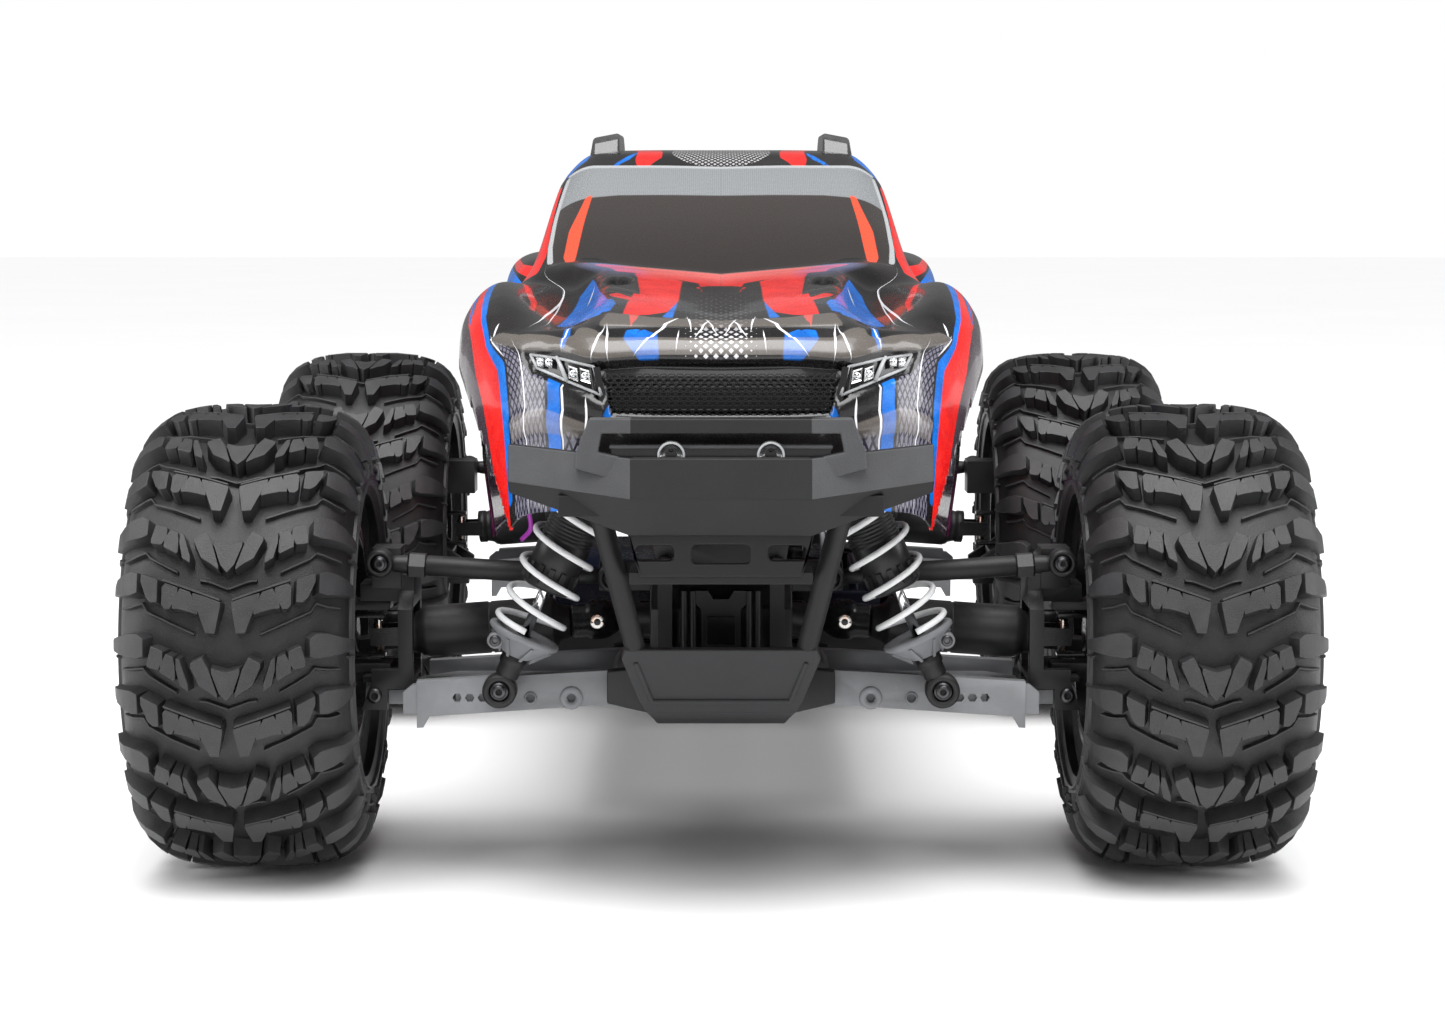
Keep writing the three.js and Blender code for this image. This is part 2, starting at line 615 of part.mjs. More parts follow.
function pinion() {
  const phase = MOTOR_ANGLE + Math.PI + Math.PI / PINION_TEETH;
  const teeth = frontPlate(toothedOutline(PINION_TEETH, phase), [SPUR_Y - 4, SPUR_Y + 4]);
  const hub = rod([0, SPUR_Y - 8, 0], [0, SPUR_Y + 4, 0], 3.4, 10);
  return join(teeth, hub).translate(MOTOR_X, 0, MOTOR_Z);
}

function motor() {
  const can = turned(
    [[0, 0], [15, 0], [17.6, 2], [17.6, 44], [15, 47], [0, 47]],
    [MOTOR_X + GAP + 1.2, SPUR_Y - 9 - GAP - 47, MOTOR_Z],
    [MOTOR_X + GAP + 1.2, SPUR_Y, MOTOR_Z],
    24,
  );
  const shaft = rod([0, -40, SHAFT_Z], [0, SPUR_Y, SHAFT_Z], 3.6, 12);
  return cut(can, shaft);
}

function servo() {
  const x = [14, 34];
  const y = [-92, -52];
  const casing = box([x[0], x[1]], y, [FLOOR_Z + 4, FLOOR_Z + 40]);
  const flange = box([x[0], x[1]], [y[0] - 6, y[1] + 6], [FLOOR_Z + 29, FLOOR_Z + 31.5]);
  const boss = rod([24, -86, FLOOR_Z + 39], [24, -86, FLOOR_Z + 44], 6, 14);
  const horn = topPlate([[20, -86], [28, -86], [27, -104], [21, -104]], [FLOOR_Z + 43.5, FLOOR_Z + 46]);
  return join(casing, flange, boss, horn);
}

function speedController() {
  const casing = box([16, 56], [-44, 2], [FLOOR_Z + 4, FLOOR_Z + 22]);
  const fins = Array.from({ length: 7 }, (_, i) =>
    box([19 + i * 5.4, 21.4 + i * 5.4], [-40, -2], [FLOOR_Z + 21, FLOOR_Z + 31]),
  );
  return join(casing, ...fins);
}

add(truck, "chassis", chassis(), black);
add(truck, "centre_shaft", centreShaft(), steel);
add(truck, "pinion_gear", pinion(), steel);
add(truck, "motor", motor(), metal(0x9a9da3, 0.35));
add(truck, "battery_pack", box(...BATTERY), plastic(0x2456b8, 0.4));
add(truck, "steering_servo", servo(), black);
add(truck, "speed_controller", speedController(), plastic(0x1c2a55, 0.5));

// ---- Body shell ----
// Rows run from the bottom of the nose over the roof to the bottom of the tail. Each row runs from the centre
// line down the right side, and each point is [x, y, z].
const SHELL_NET = [
  [[0, -241, 121], [18, -240.5, 121], [36, -239, 121], [50, -232, 120], [58, -224, 118], [63, -216, 112], [66, -210, 106], [67, -206, 101], [67, -203, 97]],
  [[0, -243, 148], [18, -242.5, 148], [34, -241, 148.5], [50, -232, 150], [59, -224, 148], [66, -214, 138], [69, -207, 124], [70, -203, 110], [70, -199, 97]],
  [[0, -240, 164.5], [18, -239.5, 164.5], [35.5, -238, 163.5], [50, -229, 165], [61, -219, 163], [69, -208, 152], [72, -202, 136], [72.5, -198, 116], [71.5, -195, 97]],
  [[0, -232, 172], [18, -231, 172.5], [34, -229, 172.5], [50, -221, 172], [64, -209, 170.5], [72, -200, 163], [75, -195, 145], [74.5, -192, 121], [72.5, -190, 97]],
  [[0, -214, 175], [18, -213, 176], [33, -211, 177], [47, -206, 172.5], [64, -198, 176.5], [75, -190, 171], [78, -186, 152], [76, -184, 124], [73.5, -182, 97]],
  [[0, -188, 177.5], [18, -188, 179], [33, -186, 180], [47, -184, 174], [66, -180, 181], [77, -176, 174], [80.5, -174, 158], [77, -172, 126], [74.5, -172, 97]],
  [[0, -150, 181], [19, -150, 183], [34, -150, 183.5], [48, -150, 176], [68, -150, 184], [78, -150, 177], [81.5, -150, 166], [78.5, -150, 130], [75.5, -150, 97]],
  [[0, -118, 184], [20, -118, 186], [36, -118, 187], [50, -118, 180], [68, -120, 183], [77, -120, 175], [80.5, -120, 162], [80, -120, 130], [76.5, -120, 97]],
  [[0, -108, 185.5], [24, -106, 187.5], [44, -102, 189], [59, -98, 186], [67, -98, 181.5], [75, -98, 172], [80, -98, 157], [79.5, -98, 128], [76.5, -98, 97]],
  [[0, -72, 203], [24, -71, 203.5], [45, -68, 203.5], [58.5, -64, 199], [64.5, -66, 185], [70.5, -66, 171], [76.5, -66, 153], [78.5, -66, 126], [76, -66, 97]],
  [[0, -32, 221], [24, -31, 221.5], [44, -29, 221.5], [55.5, -25, 216], [63, -34, 187], [69.5, -34, 170], [75, -34, 150], [77, -34, 125], [75.5, -34, 96]],
  [[0, -14, 226], [22, -13, 226.5], [43, -12, 226], [54.5, -8, 218.5], [62.5, -6, 188], [69.5, -6, 170], [75, -6, 150], [77, -6, 125], [75.5, -6, 96]],
  [[0, 25, 227.5], [22, 25, 227.5], [43, 25, 227], [54.5, 26, 218.5], [62.5, 26, 188], [69.5, 26, 170], [75, 26, 150], [77, 26, 125], [75.5, 26, 96]],
  [[0, 58, 225], [22, 58, 225], [42, 58, 224], [53, 58, 216], [62.5, 56, 188], [69.5, 56, 171], [75, 56, 152], [77.5, 56, 126], [76, 56, 97]],
  [[0, 74, 183], [22, 74, 183], [40, 74, 183], [53, 74, 183.5], [66, 76, 186.5], [75, 78, 176], [80, 78, 160], [80, 78, 130], [77, 78, 97]],
  [[0, 100, 176], [22, 100, 176], [40, 100, 176], [55, 100, 177], [71, 98, 187], [81, 98, 180], [85, 98, 167], [82, 98, 132], [78, 98, 97]],
  [[0, 150, 174], [22, 150, 174], [42, 150, 174], [59, 150, 175], [75, 150, 187.5], [84.5, 150, 183], [88, 150, 170], [84, 150, 132], [79, 150, 97]],
  [[0, 200, 174], [22, 200, 174], [42, 200, 174], [59, 200, 175], [74, 200, 187.5], [82, 200, 181], [85, 200, 165], [81, 200, 131], [77, 200, 97]],
  [[0, 232, 178], [22, 232, 178], [42, 232, 178], [58, 231, 179], [71, 229, 185], [77, 227, 177], [79, 226, 160], [77, 225, 130], [74, 222, 100]],
  [[0, 241, 165], [22, 241, 165], [42, 240, 165], [56, 239, 165], [67, 236, 164], [73, 233, 158], [74, 231, 146], [72, 229, 126], [70, 226, 102]],
  [[0, 239, 122], [22, 239, 122], [42, 238, 122], [54, 237, 121], [62, 234, 119], [66, 231, 114], [67, 229, 109], [67, 227, 106], [67, 225, 104]],
];
const SHELL_WALL = 1.6;
const ARCH_R = 62;
const ARCH_Z = 100;

// A sheet with a wall: the outer grid, the same grid moved inwards along its normals, and a strip round the rim.
function thickSheet(rows, wall) {
  const height = rows.length;
  const width = rows[0].length;
  const outer = rows.flat().map((p) => new THREE.Vector3(...p));
  const index = (r, c) => r * width + c;
  const normalAt = (r, c) => {
    const along = outer[index(Math.min(r + 1, height - 1), c)].clone().sub(outer[index(Math.max(r - 1, 0), c)]);
    const across = outer[index(r, Math.min(c + 1, width - 1))].clone().sub(outer[index(r, Math.max(c - 1, 0))]);
    return across.cross(along).normalize();
  };
  const inner = outer.map((p, i) => p.clone().addScaledVector(normalAt(Math.floor(i / width), i % width), -wall));
  const faces = [];
  const quad = (a, b, c, d) => faces.push(a, b, c, a, c, d);
  const under = outer.length;
  for (let r = 0; r + 1 < height; r++) {
    for (let c = 0; c + 1 < width; c++) {
      const [a, b, d, e] = [index(r, c), index(r, c + 1), index(r + 1, c + 1), index(r + 1, c)];
      quad(a, b, d, e);
      quad(under + a, under + e, under + d, under + b);
    }
  }
  const rim = [
    ...Array.from({ length: width - 1 }, (_, c) => index(0, width - 1 - c)),
    ...Array.from({ length: height - 1 }, (_, r) => index(r, 0)),
    ...Array.from({ length: width - 1 }, (_, c) => index(height - 1, c)),
    ...Array.from({ length: height - 1 }, (_, r) => index(height - 1 - r, width - 1)),
  ];
  rim.forEach((a, i) => {
    const b = rim[(i + 1) % rim.length];
    quad(a, b, under + b, under + a);
  });
  return new THREE.BufferGeometry()
    .setAttribute("position", new THREE.Float32BufferAttribute([...outer, ...inner].flatMap((p) => p.toArray()), 3))
    .setIndex(faces);
}

function roofRail(side) {
  const section = (y, z) => [[side * 36, y, z], [side * 46, y, z - 2]].concat([[side * 47.6, y, 221], [side * 36, y, 224]]);
  const rings = [section(-12, 229), section(-6, 233.5), section(46, 233.5), section(54, 229)];
  return lofted(side > 0 ? rings : rings.reverse());
}

function bodyShell() {
  const fullRows = SHELL_NET.map((row) => [...row.slice(1).reverse().map(([x, y, z]) => [-x, y, z]), ...row]);
  const arches = [-1, 1].map((fore) => rod([-100, fore * AXLE_Y, ARCH_Z], [100, fore * AXLE_Y, ARCH_Z], ARCH_R, 24));
  return join(cut(thickSheet(fullRows, SHELL_WALL), ...arches), roofRail(-1), roofRail(1));
}

add(truck, "body_shell", bodyShell(), paint);

export default truck;
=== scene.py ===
"""The looks of the monster truck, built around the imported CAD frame.

Lengths are millimetres until a mesh is made.
"""
import json
import math

import bmesh
import bpy
import numpy as np
from mathutils import Matrix, Vector

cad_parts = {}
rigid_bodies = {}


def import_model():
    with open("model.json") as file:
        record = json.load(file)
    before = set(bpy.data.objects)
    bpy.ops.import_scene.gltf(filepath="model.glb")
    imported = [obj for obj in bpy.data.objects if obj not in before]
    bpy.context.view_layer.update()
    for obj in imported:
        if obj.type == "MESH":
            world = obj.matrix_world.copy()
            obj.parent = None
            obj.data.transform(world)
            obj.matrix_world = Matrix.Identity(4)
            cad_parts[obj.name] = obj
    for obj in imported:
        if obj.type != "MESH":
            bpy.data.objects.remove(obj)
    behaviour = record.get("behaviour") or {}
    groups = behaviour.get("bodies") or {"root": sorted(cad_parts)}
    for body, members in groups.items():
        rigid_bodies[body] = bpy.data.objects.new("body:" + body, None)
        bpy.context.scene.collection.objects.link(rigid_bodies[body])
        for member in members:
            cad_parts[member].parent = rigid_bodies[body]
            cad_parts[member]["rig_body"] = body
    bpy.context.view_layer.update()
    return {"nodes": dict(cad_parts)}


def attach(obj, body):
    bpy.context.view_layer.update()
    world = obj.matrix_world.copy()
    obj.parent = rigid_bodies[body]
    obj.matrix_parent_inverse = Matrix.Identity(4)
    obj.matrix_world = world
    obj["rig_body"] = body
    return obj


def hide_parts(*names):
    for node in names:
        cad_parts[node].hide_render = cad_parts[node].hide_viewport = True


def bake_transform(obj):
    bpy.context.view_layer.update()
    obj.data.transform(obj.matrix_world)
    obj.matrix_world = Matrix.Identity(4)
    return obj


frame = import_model()

MM = 0.001
AXLE_Y = 155.5
TYRE_X = 145.0
TYRE_R = 73.0
BUMPER_Y = 262.5
CORNERS = [
    (end, fore, hand, side) for end, fore in (("front", 1), ("rear", -1))
    for hand, side in (("left", 1), ("right", -1))
]

# Suspension pivots of one corner: distance from the centre line and height.
ARM_OUT = (108, 56)
LINK_IN, LINK_OUT = (34, 93), (106, 97.5)
DRIVE_IN, DRIVE_OUT = (38, 78), (108, 73)
SHOCK_TOP, SHOCK_FOOT = (28.5, 148), (67.7, 60.5)
TOE_IN, TOE_OUT = (24, 77.5), (106, 74.5)
SHOCK_Y, LINK_Y, TOE_Y = -32, -13, 26
ARM_HALF = 24
SHOCK_LENGTH = math.hypot(SHOCK_TOP[0] - SHOCK_FOOT[0], SHOCK_TOP[1] - SHOCK_FOOT[1])


# ---- Shader tools ----
class Shader:
    """A material's node tree. Where a value is asked for, a number or an output socket will do."""

    def __init__(self, name):
        self.material = bpy.data.materials.new(name)
        self.material.use_nodes = True
        self.tree = self.material.node_tree
        self.surface = self.tree.nodes["Principled BSDF"]
        self.place = self.node("ShaderNodeTexCoord").outputs["Object"]

    def node(self, kind, inputs=None, **settings):
        made = self.tree.nodes.new(kind)
        for key, value in settings.items():
            setattr(made, key, value)
        for key, value in (inputs or {}).items():
            self.put(made.inputs[key], value)
        return made

    def put(self, socket, value):
        if isinstance(value, bpy.types.NodeSocket):
            self.tree.links.new(value, socket)
        else:
            socket.default_value = value

    def math(self, operation, a, b=0.0, c=0.0, clamp=False):
        made = self.node("ShaderNodeMath", {0: a, 1: b, 2: c}, operation=operation)
        made.use_clamp = clamp
        return made.outputs[0]

    def add(self, a, b):
        return self.math("ADD", a, b)

    def times(self, a, b):
        return self.math("MULTIPLY", a, b)

    def spread(self, value, low, high, to_low=0.0, to_high=1.0):
        """Maps low..high to to_low..to_high and clamps."""
        made = self.node(
            "ShaderNodeMapRange",
            {"Value": value, "From Min": low, "From Max": high, "To Min": to_low, "To Max": to_high}
        )
        return made.outputs["Result"]

    def mix(self, share, a, b):
        made = self.node("ShaderNodeMix", data_type="RGBA")
        for name, value in (("Factor", share), ("A", a), ("B", b)):
            socket = next(s for s in made.inputs if s.name == name and s.enabled)
            self.put(socket, (*value, 1.0) if isinstance(value, tuple) and len(value) == 3 else value)
        return next(s for s in made.outputs if s.enabled)

    def noise(self, scale, detail=3.0, roughness=0.55, distortion=0.0, vector=None):
        return self.node(
            "ShaderNodeTexNoise",
            {
                "Vector": vector or self.place, "Scale": scale, "Detail": detail, "Roughness": roughness,
                "Distortion": distortion
            },
        ).outputs["Fac"]

    def split(self, vector):
        return self.node("ShaderNodeSeparateXYZ", {"Vector": vector}).outputs

    def bump(self, height, distance, strength=1.0, normal=None):
        made = self.node("ShaderNodeBump", {"Height": height, "Distance": distance, "Strength": strength})
        if normal:
            self.put(made.inputs["Normal"], normal)
        return made.outputs["Normal"]

    def curve(self, value, points):
        """A function of value, straight between points; value and results lie in 0..1."""
        made = self.node("ShaderNodeFloatCurve", {"Value": value})
        curve = made.mapping.curves[0]
        while len(curve.points) < len(points):
            curve.points.new(0.5, 0.5)
        for place, (x, y) in zip(curve.points, points):
            place.location = (x, y)
            place.handle_type = "AUTO_CLAMPED"
        made.mapping.update()
        return made.outputs[0]

    def set(self, **values):
        for key, value in values.items():
            self.put(self.surface.inputs[key.replace("_", " ")], value)
        return self.material


def moulded(name, color, rough=0.5, grain=0.06, grain_size=0.35, dust=0.12, wear=0.1, coat=0.0):
    """Moulded plastic: fine spark-eroded grain, faint flow marks, and dust that lies on what faces up."""
    s = Shader(name)
    fine = s.noise(1 / (grain_size * MM), 4, 0.6)
    broad = s.noise(60, 3, 0.6)
    scuff = s.spread(s.noise(420, 5, 0.7, 1.5), 0.58, 0.72)
    up = s.spread(s.split(s.node("ShaderNodeNewGeometry").outputs["Normal"])[2], 0.2, 1.0)
    dusty = s.times(s.times(up, dust), s.spread(s.noise(180, 5, 0.65), 0.3, 0.75))
    tone = s.mix(
        s.spread(broad, 0.3, 0.7), tuple(c * 0.86 for c in color), tuple(min(1, c * 1.14) for c in color)
    )
    light = tuple(min(1, c * 1.5 + 0.03) for c in color)
    tone = s.mix(s.times(scuff, wear), tone, light)
    tone = s.mix(dusty, tone, (0.34, 0.32, 0.3))
    rough_now = s.add(
        s.spread(s.add(s.times(broad, 0.5), s.times(fine, 0.5)), 0.3, 0.7, rough - 0.07, rough + 0.09),
        s.times(dusty, 0.4)
    )
    normal = s.bump(s.add(fine, s.times(broad, 0.4)), grain * MM)
    if coat:
        s.set(Coat_Weight=coat, Coat_Roughness=0.08)
    return s.set(Base_Color=tone, Roughness=rough_now, Normal=normal, Specular_IOR_Level=0.36)


def metal(name, color, rough=0.25, brushed=0.0, blush=None):
    """Turned or coated metal with fine scratches; blush tints it in patches, like passivated zinc."""
    s = Shader(name)
    stretched = s.node(
        "ShaderNodeMapping", {"Vector": s.place, "Scale": (1.0, 1.0, 1.0 + brushed)}
    ).outputs[0]
    scratch = s.noise(2400, 3, 0.7, 0.4, stretched)
    broad = s.noise(260, 4, 0.6)
    tone = s.mix(s.spread(broad, 0.35, 0.65), tuple(c * 0.82 for c in color), color)
    if blush:
        tone = s.mix(s.spread(s.noise(330, 2, 0.5), 0.45, 0.62), tone, blush)
    rough_now = s.spread(s.add(scratch, broad), 0.7, 1.3, rough * 0.7, rough * 1.4)
    return s.set(Base_Color=tone, Roughness=rough_now, Metallic=1.0, Normal=s.bump(scratch, 0.012 * MM))


def tyre_rubber(name, low, high):
    """Rubber with a bead-blasted skin, its tone between low and high in patches."""
    s = Shader(name)
    fine = s.noise(3600, 4, 0.65)
    cells = s.node("ShaderNodeTexVoronoi", {"Vector": s.place, "Scale": 2600.0}).outputs["Distance"]
    broad = s.noise(90, 4, 0.6)
    speck = s.spread(s.noise(1500, 5, 0.7), 0.62, 0.7)
    dusty = s.times(s.spread(s.noise(140, 6, 0.7), 0.42, 0.8), 0.12)
    tone = s.mix(s.spread(broad, 0.3, 0.7), low, high)
    tone = s.mix(s.times(speck, 0.35), tone, (0.11, 0.11, 0.11))
    tone = s.mix(dusty, tone, (0.1, 0.1, 0.1))
    rough = s.spread(s.add(broad, s.times(fine, 0.6)), 0.5, 1.1, 0.36, 0.54)
    return s.set(
        Base_Color=tone, Roughness=rough, Normal=s.bump(s.add(s.times(cells, 0.7), fine), 0.09 * MM),
        Specular_IOR_Level=0.5
    )


# ---- Mesh tools ----
def piece(name, verts, faces, material=None):
    """A mesh object from millimetre points."""
    mesh = bpy.data.meshes.new(name)
    mesh.from_pydata([tuple(c * MM for c in v) for v in verts], [], [tuple(f) for f in faces])
    mesh.validate()
    made = bpy.data.objects.new(name, mesh)
    bpy.context.scene.collection.objects.link(made)
    if material:
        mesh.materials.append(material)
    return made


class Build:
    """Collects shapes, each in its own material, into one object."""

    def __init__(self):
        self.verts, self.faces, self.slots, self.smooth, self.materials = [], [], [], [], []

    def add(self, verts, faces, material, smooth=False):
        if material not in self.materials:
            self.materials.append(material)
        start, slot = len(self.verts), self.materials.index(material)
        self.verts += [tuple(v) for v in verts]
        self.faces += [tuple(start + i for i in f) for f in faces]
        self.slots += [slot] * len(faces)
        self.smooth += [smooth] * len(faces)
        return self

    def make(self, name, bevel=0.0, segments=2, angle=35):
        made = piece(name, self.verts, self.faces)
        mesh = made.data
        for material in self.materials:
            mesh.materials.append(material)
        mesh.polygons.foreach_set("material_index", self.slots[: len(mesh.polygons)])
        mesh.polygons.foreach_set("use_smooth", self.smooth[: len(mesh.polygons)])
        tidy = bmesh.new()
        tidy.from_mesh(mesh)
        bmesh.ops.recalc_face_normals(tidy, faces=tidy.faces)
        tidy.to_mesh(mesh)
        tidy.free()
        if bevel:
            soften(made, bevel, segments, angle)
        return made


def soften(made, width, segments=2, angle=35):
    """Rounds an object's sharp edges by width millimetres."""
    for polygon in made.data.polygons:
        polygon.use_smooth = True
    bevel = made.modifiers.new("edges", "BEVEL")
    bevel.width = width * MM
    bevel.segments = segments
    bevel.limit_method = "ANGLE"
    bevel.angle_limit = math.radians(angle)
    bevel.harden_normals = True
    bevel.use_clamp_overlap = True
    return made


def frame_of(start, end):
    """A matrix whose +Z runs from start towards end."""
    start, end = Vector(start), Vector(end)
    return Matrix.Translation(start) @ (end - start).to_track_quat("Z", "Y").to_matrix().to_4x4()


# A block given as four points of one face and then the four facing them.
BLOCK_FACES = [(0, 1, 2, 3), (7, 6, 5, 4)] + [(i, i + 4, (i + 1) % 4 + 4, (i + 1) % 4) for i in range(4)]


def box_shape(low, high):
    corners = [
        (x, y, z) for z in (low[2], high[2])
        for x, y in ((low[0], low[1]), (high[0], low[1]), (high[0], high[1]), (low[0], high[1]))
    ]
    return corners, [(3, 2, 1, 0), (4, 5, 6, 7), (0, 1, 5, 4), (1, 2, 6, 5), (2, 3, 7, 6), (3, 0, 4, 7)]


def lathe_shape(profile, start, end, sides=32):
    """Turns a profile of (radius, distance from start) about the line; ends on the axis are closed."""
    turn = frame_of(start, end)
    verts, rings = [], []
    for radius, distance in profile:
        if radius < 1e-6:
            rings.append([len(verts)])
            verts.append(turn @ Vector((0, 0, distance)))
            continue
        rings.append(list(range(len(verts), len(verts) + sides)))
        for i in range(sides):
            a = 2 * math.pi * i / sides
            verts.append(turn @ Vector((radius * math.cos(a), radius * math.sin(a), distance)))
    faces = []
    for low, high in zip(rings, rings[1:]):
        for i in range(sides):
            j = (i + 1) % sides
            if len(low) == 1 and len(high) == 1:
                continue
            if len(low) == 1:
                faces.append((low[0], high[j], high[i]))
            elif len(high) == 1:
                faces.append((low[i], low[j], high[0]))
            else:
                faces.append((low[i], low[j], high[j], high[i]))
    return verts, faces


def rod_shape(start, end, radius, sides=24, chamfer=0.0):
    length = (Vector(end) - Vector(start)).length
    c = chamfer
    profile = [
        (0, 0), (radius - c, 0), (radius, c), (radius, length - c), (radius - c, length), (0, length)
    ] if c else [(0, 0), (radius, 0), (radius, length), (0, length)]
    return lathe_shape(profile, start, end, sides)


def prism_shape(outline, low, high, place):
    """An outline of 2-D points pushed from low to high; place(u, v, w) gives the 3-D point."""
    count = len(outline)
    verts = [place(u, v, w) for w in (low, high) for u, v in outline]
    faces = [tuple(range(count)), tuple(range(2 * count - 1, count - 1, -1))]
    faces += [(i, i + count, (i + 1) % count + count, (i + 1) % count) for i in range(count)]
    return verts, faces


def ring_prism_shape(outer, inner, low, high, place):
    """A frame between two outlines with the same number of points."""
    count = len(outer)
    verts = [place(u, v, w) for w in (low, high) for loop in (outer, inner) for u, v in loop]
    faces = []
    for i in range(count):
        j = (i + 1) % count
        for base, flip in ((0, False), (2 * count, True)):
            quad = (base + i, base + j, base + count + j, base + count + i)
            faces.append(quad[::-1] if flip else quad)
        faces.append((i, 2 * count + i, 2 * count + j, j))
        faces.append((count + i, count + j, 3 * count + j, 3 * count + i))
    return verts, faces


def sweep_shape(path, radius, sides=10):
    """A round wire along a path of points."""
    path = [Vector(p) for p in path]
    verts, faces = [], []
    side = (path[1] - path[0]).orthogonal().normalized()
    for i, point in enumerate(path):
        ahead = (path[min(i + 1, len(path) - 1)] - path[max(i - 1, 0)]).normalized()
        side = (side - ahead * side.dot(ahead)).normalized()
        across = ahead.cross(side)
        for k in range(sides):
            a = 2 * math.pi * k / sides
            verts.append(point + side * radius * math.cos(a) + across * radius * math.sin(a))
    for i in range(len(path) - 1):
        for k in range(sides):
            n = (k + 1) % sides
            faces.append((i * sides + k, i * sides + n, (i + 1) * sides + n, (i + 1) * sides + k))
    faces.append(tuple(range(sides))[::-1])
    faces.append(tuple(range((len(path) - 1) * sides, len(path) * sides)))
    return verts, faces


def across(u, v, w):
    """Seen from the front: u across, v up, w backwards."""
    return (u, w, v)


def mirror_outline(points):
    return list(points) + [(-u, v) for u, v in reversed(points)]


def refine(node, material, bevel=0.5):
    """Stands for a CAD node with the same shape, its flat faces joined up and its edges rounded."""
    source = frame["nodes"][node]
    mesh = source.data.copy()
    made = bpy.data.objects.new(f"{node}_moulding", mesh)
    bpy.context.scene.collection.objects.link(made)
    work = bmesh.new()
    work.from_mesh(mesh)
    bmesh.ops.remove_doubles(work, verts=work.verts, dist=1e-5)
    bmesh.ops.dissolve_limit(work, angle_limit=math.radians(2), verts=work.verts, edges=work.edges)
    work.to_mesh(mesh)
    work.free()
    mesh.materials.clear()
    mesh.materials.append(material)
    soften(made, bevel, 2, 28)
    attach(made, source["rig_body"])
    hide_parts(node)
    return made


def screw_shapes(build, at, direction, radius, material, dark, height=None):
    """A button-head cap screw with a hexagonal socket, its inside near black as painted shade."""
    at, direction = Vector(at), Vector(direction).normalized()
    height = height or radius * 0.62
    tip = at + direction
    profile = [
        (0, -0.3), (radius, -0.3), (radius, height * 0.25), (radius * 0.93, height * 0.6),
        (radius * 0.75, height * 0.88), (radius * 0.5, height), (radius * 0.47, height * 0.97)
    ]
    build.add(*lathe_shape(profile, at, tip, 28), material, True)
    build.add(
        *lathe_shape(
            [(radius * 0.47, height * 0.97), (radius * 0.43, height * 0.25), (0, height * 0.2)], at, tip, 6
        ),
        dark
    )


# ---- Materials ----
black_plastic = moulded("black_plastic", (0.012, 0.012, 0.013), rough=0.42, wear=0.15)
gloss_black = moulded("gloss_black", (0.008, 0.008, 0.009), rough=0.22, grain=0.01, wear=0.05)
arm_grey = moulded("arm_grey", (0.21, 0.215, 0.225), rough=0.45, grain=0.05, wear=0.2)
retainer_grey = moulded("retainer_grey", (0.19, 0.195, 0.205), rough=0.38, grain=0.03)
bumper_smooth = moulded("bumper_smooth", (0.005, 0.005, 0.0055), rough=0.55, grain=0.04, dust=0.03, wear=0.05)
# Grained bumper plastic, much lighter than the smooth: the grain is real, and the lightness is partly painted
# light from above on the faces it covers.
bumper_grained_and_lit = moulded(
    "bumper_grained_and_lit", (0.06, 0.061, 0.064), rough=0.66, grain=0.16, grain_size=0.45, dust=0.05, wear=0.12
)
skid_grey = moulded("skid_grey", (0.02, 0.0205, 0.022), rough=0.55, grain=0.07, dust=0.04, wear=0.12)
# Near black for the insides of screw sockets and the arm's holes: painted shade in the recesses.
socket_painted_shade = moulded("socket_painted_shade", (0.006, 0.006, 0.006), rough=0.6)
steel = metal("steel", (0.62, 0.6, 0.58), 0.22, blush=(0.75, 0.5, 0.38))
chrome = metal("chrome", (0.82, 0.82, 0.83), 0.08)
dark_steel = metal("dark_steel", (0.09, 0.09, 0.095), 0.35)
rubber = tyre_rubber("tyre_rubber", (0.014, 0.014, 0.015), (0.027, 0.027, 0.029))
# A darker copy of the tyre rubber for the carcass: painted shade in the grooves between the lugs.
carcass_rubber_painted_shade = tyre_rubber("carcass_rubber_painted_shade", (0.003, 0.003, 0.0035), (0.007, 0.007, 0.0075))
spring_coat = moulded("spring_coat", (0.84, 0.85, 0.86), rough=0.25, grain=0.01, wear=0.05, coat=0.4)


# ---- Tyres ----
# The outside of the tyre in section: [distance from the tread's middle, radius], from the crown to the bead.
ENVELOPE = [
    (0, 73), (8, 73), (15, 72.6), (21, 71.6), (26, 70), (30, 67.6), (33, 64.4), (35, 60.5), (35.9, 56),
    (35.7, 51), (34.6, 46), (32.4, 41), (29, 36.5)
]
LUG_DEPTH = [(0, 5.6), (20, 5.4), (27, 5.2), (33, 4.6), (38, 3.6), (44, 2.4), (50, 1.2), (60, 0.7)]
TREAD_PITCHES = 12
ROW_B = -12.7


def smooth_path(points, steps=12):
    """A centripetal run through points, as an array."""
    points = np.array(points, float)
    padded = np.vstack([2 * points[0] - points[1], points, 2 * points[-1] - points[-2]])
    out = []
    for i in range(1, len(padded) - 2):
        p0, p1, p2, p3 = padded[i - 1 : i + 3]
        for t in np.linspace(0, 1, steps, endpoint=False):
            out.append(
                0.5
                * (
                    2 * p1 + (p2 - p0) * t + (2 * p0 - 5 * p1 + 4 * p2 - p3) * t * t
                    + (3 * p1 - p0 - 3 * p2 + p3) * t**3
                )
            )
    out.append(points[-1])
    return np.array(out)


SECTION = smooth_path([(-8, 73)] + ENVELOPE)
SECTION = SECTION[SECTION[:, 0] >= 0]
SECTION_U = np.concatenate([[0], np.cumsum(np.hypot(*np.diff(SECTION, axis=0).T))])


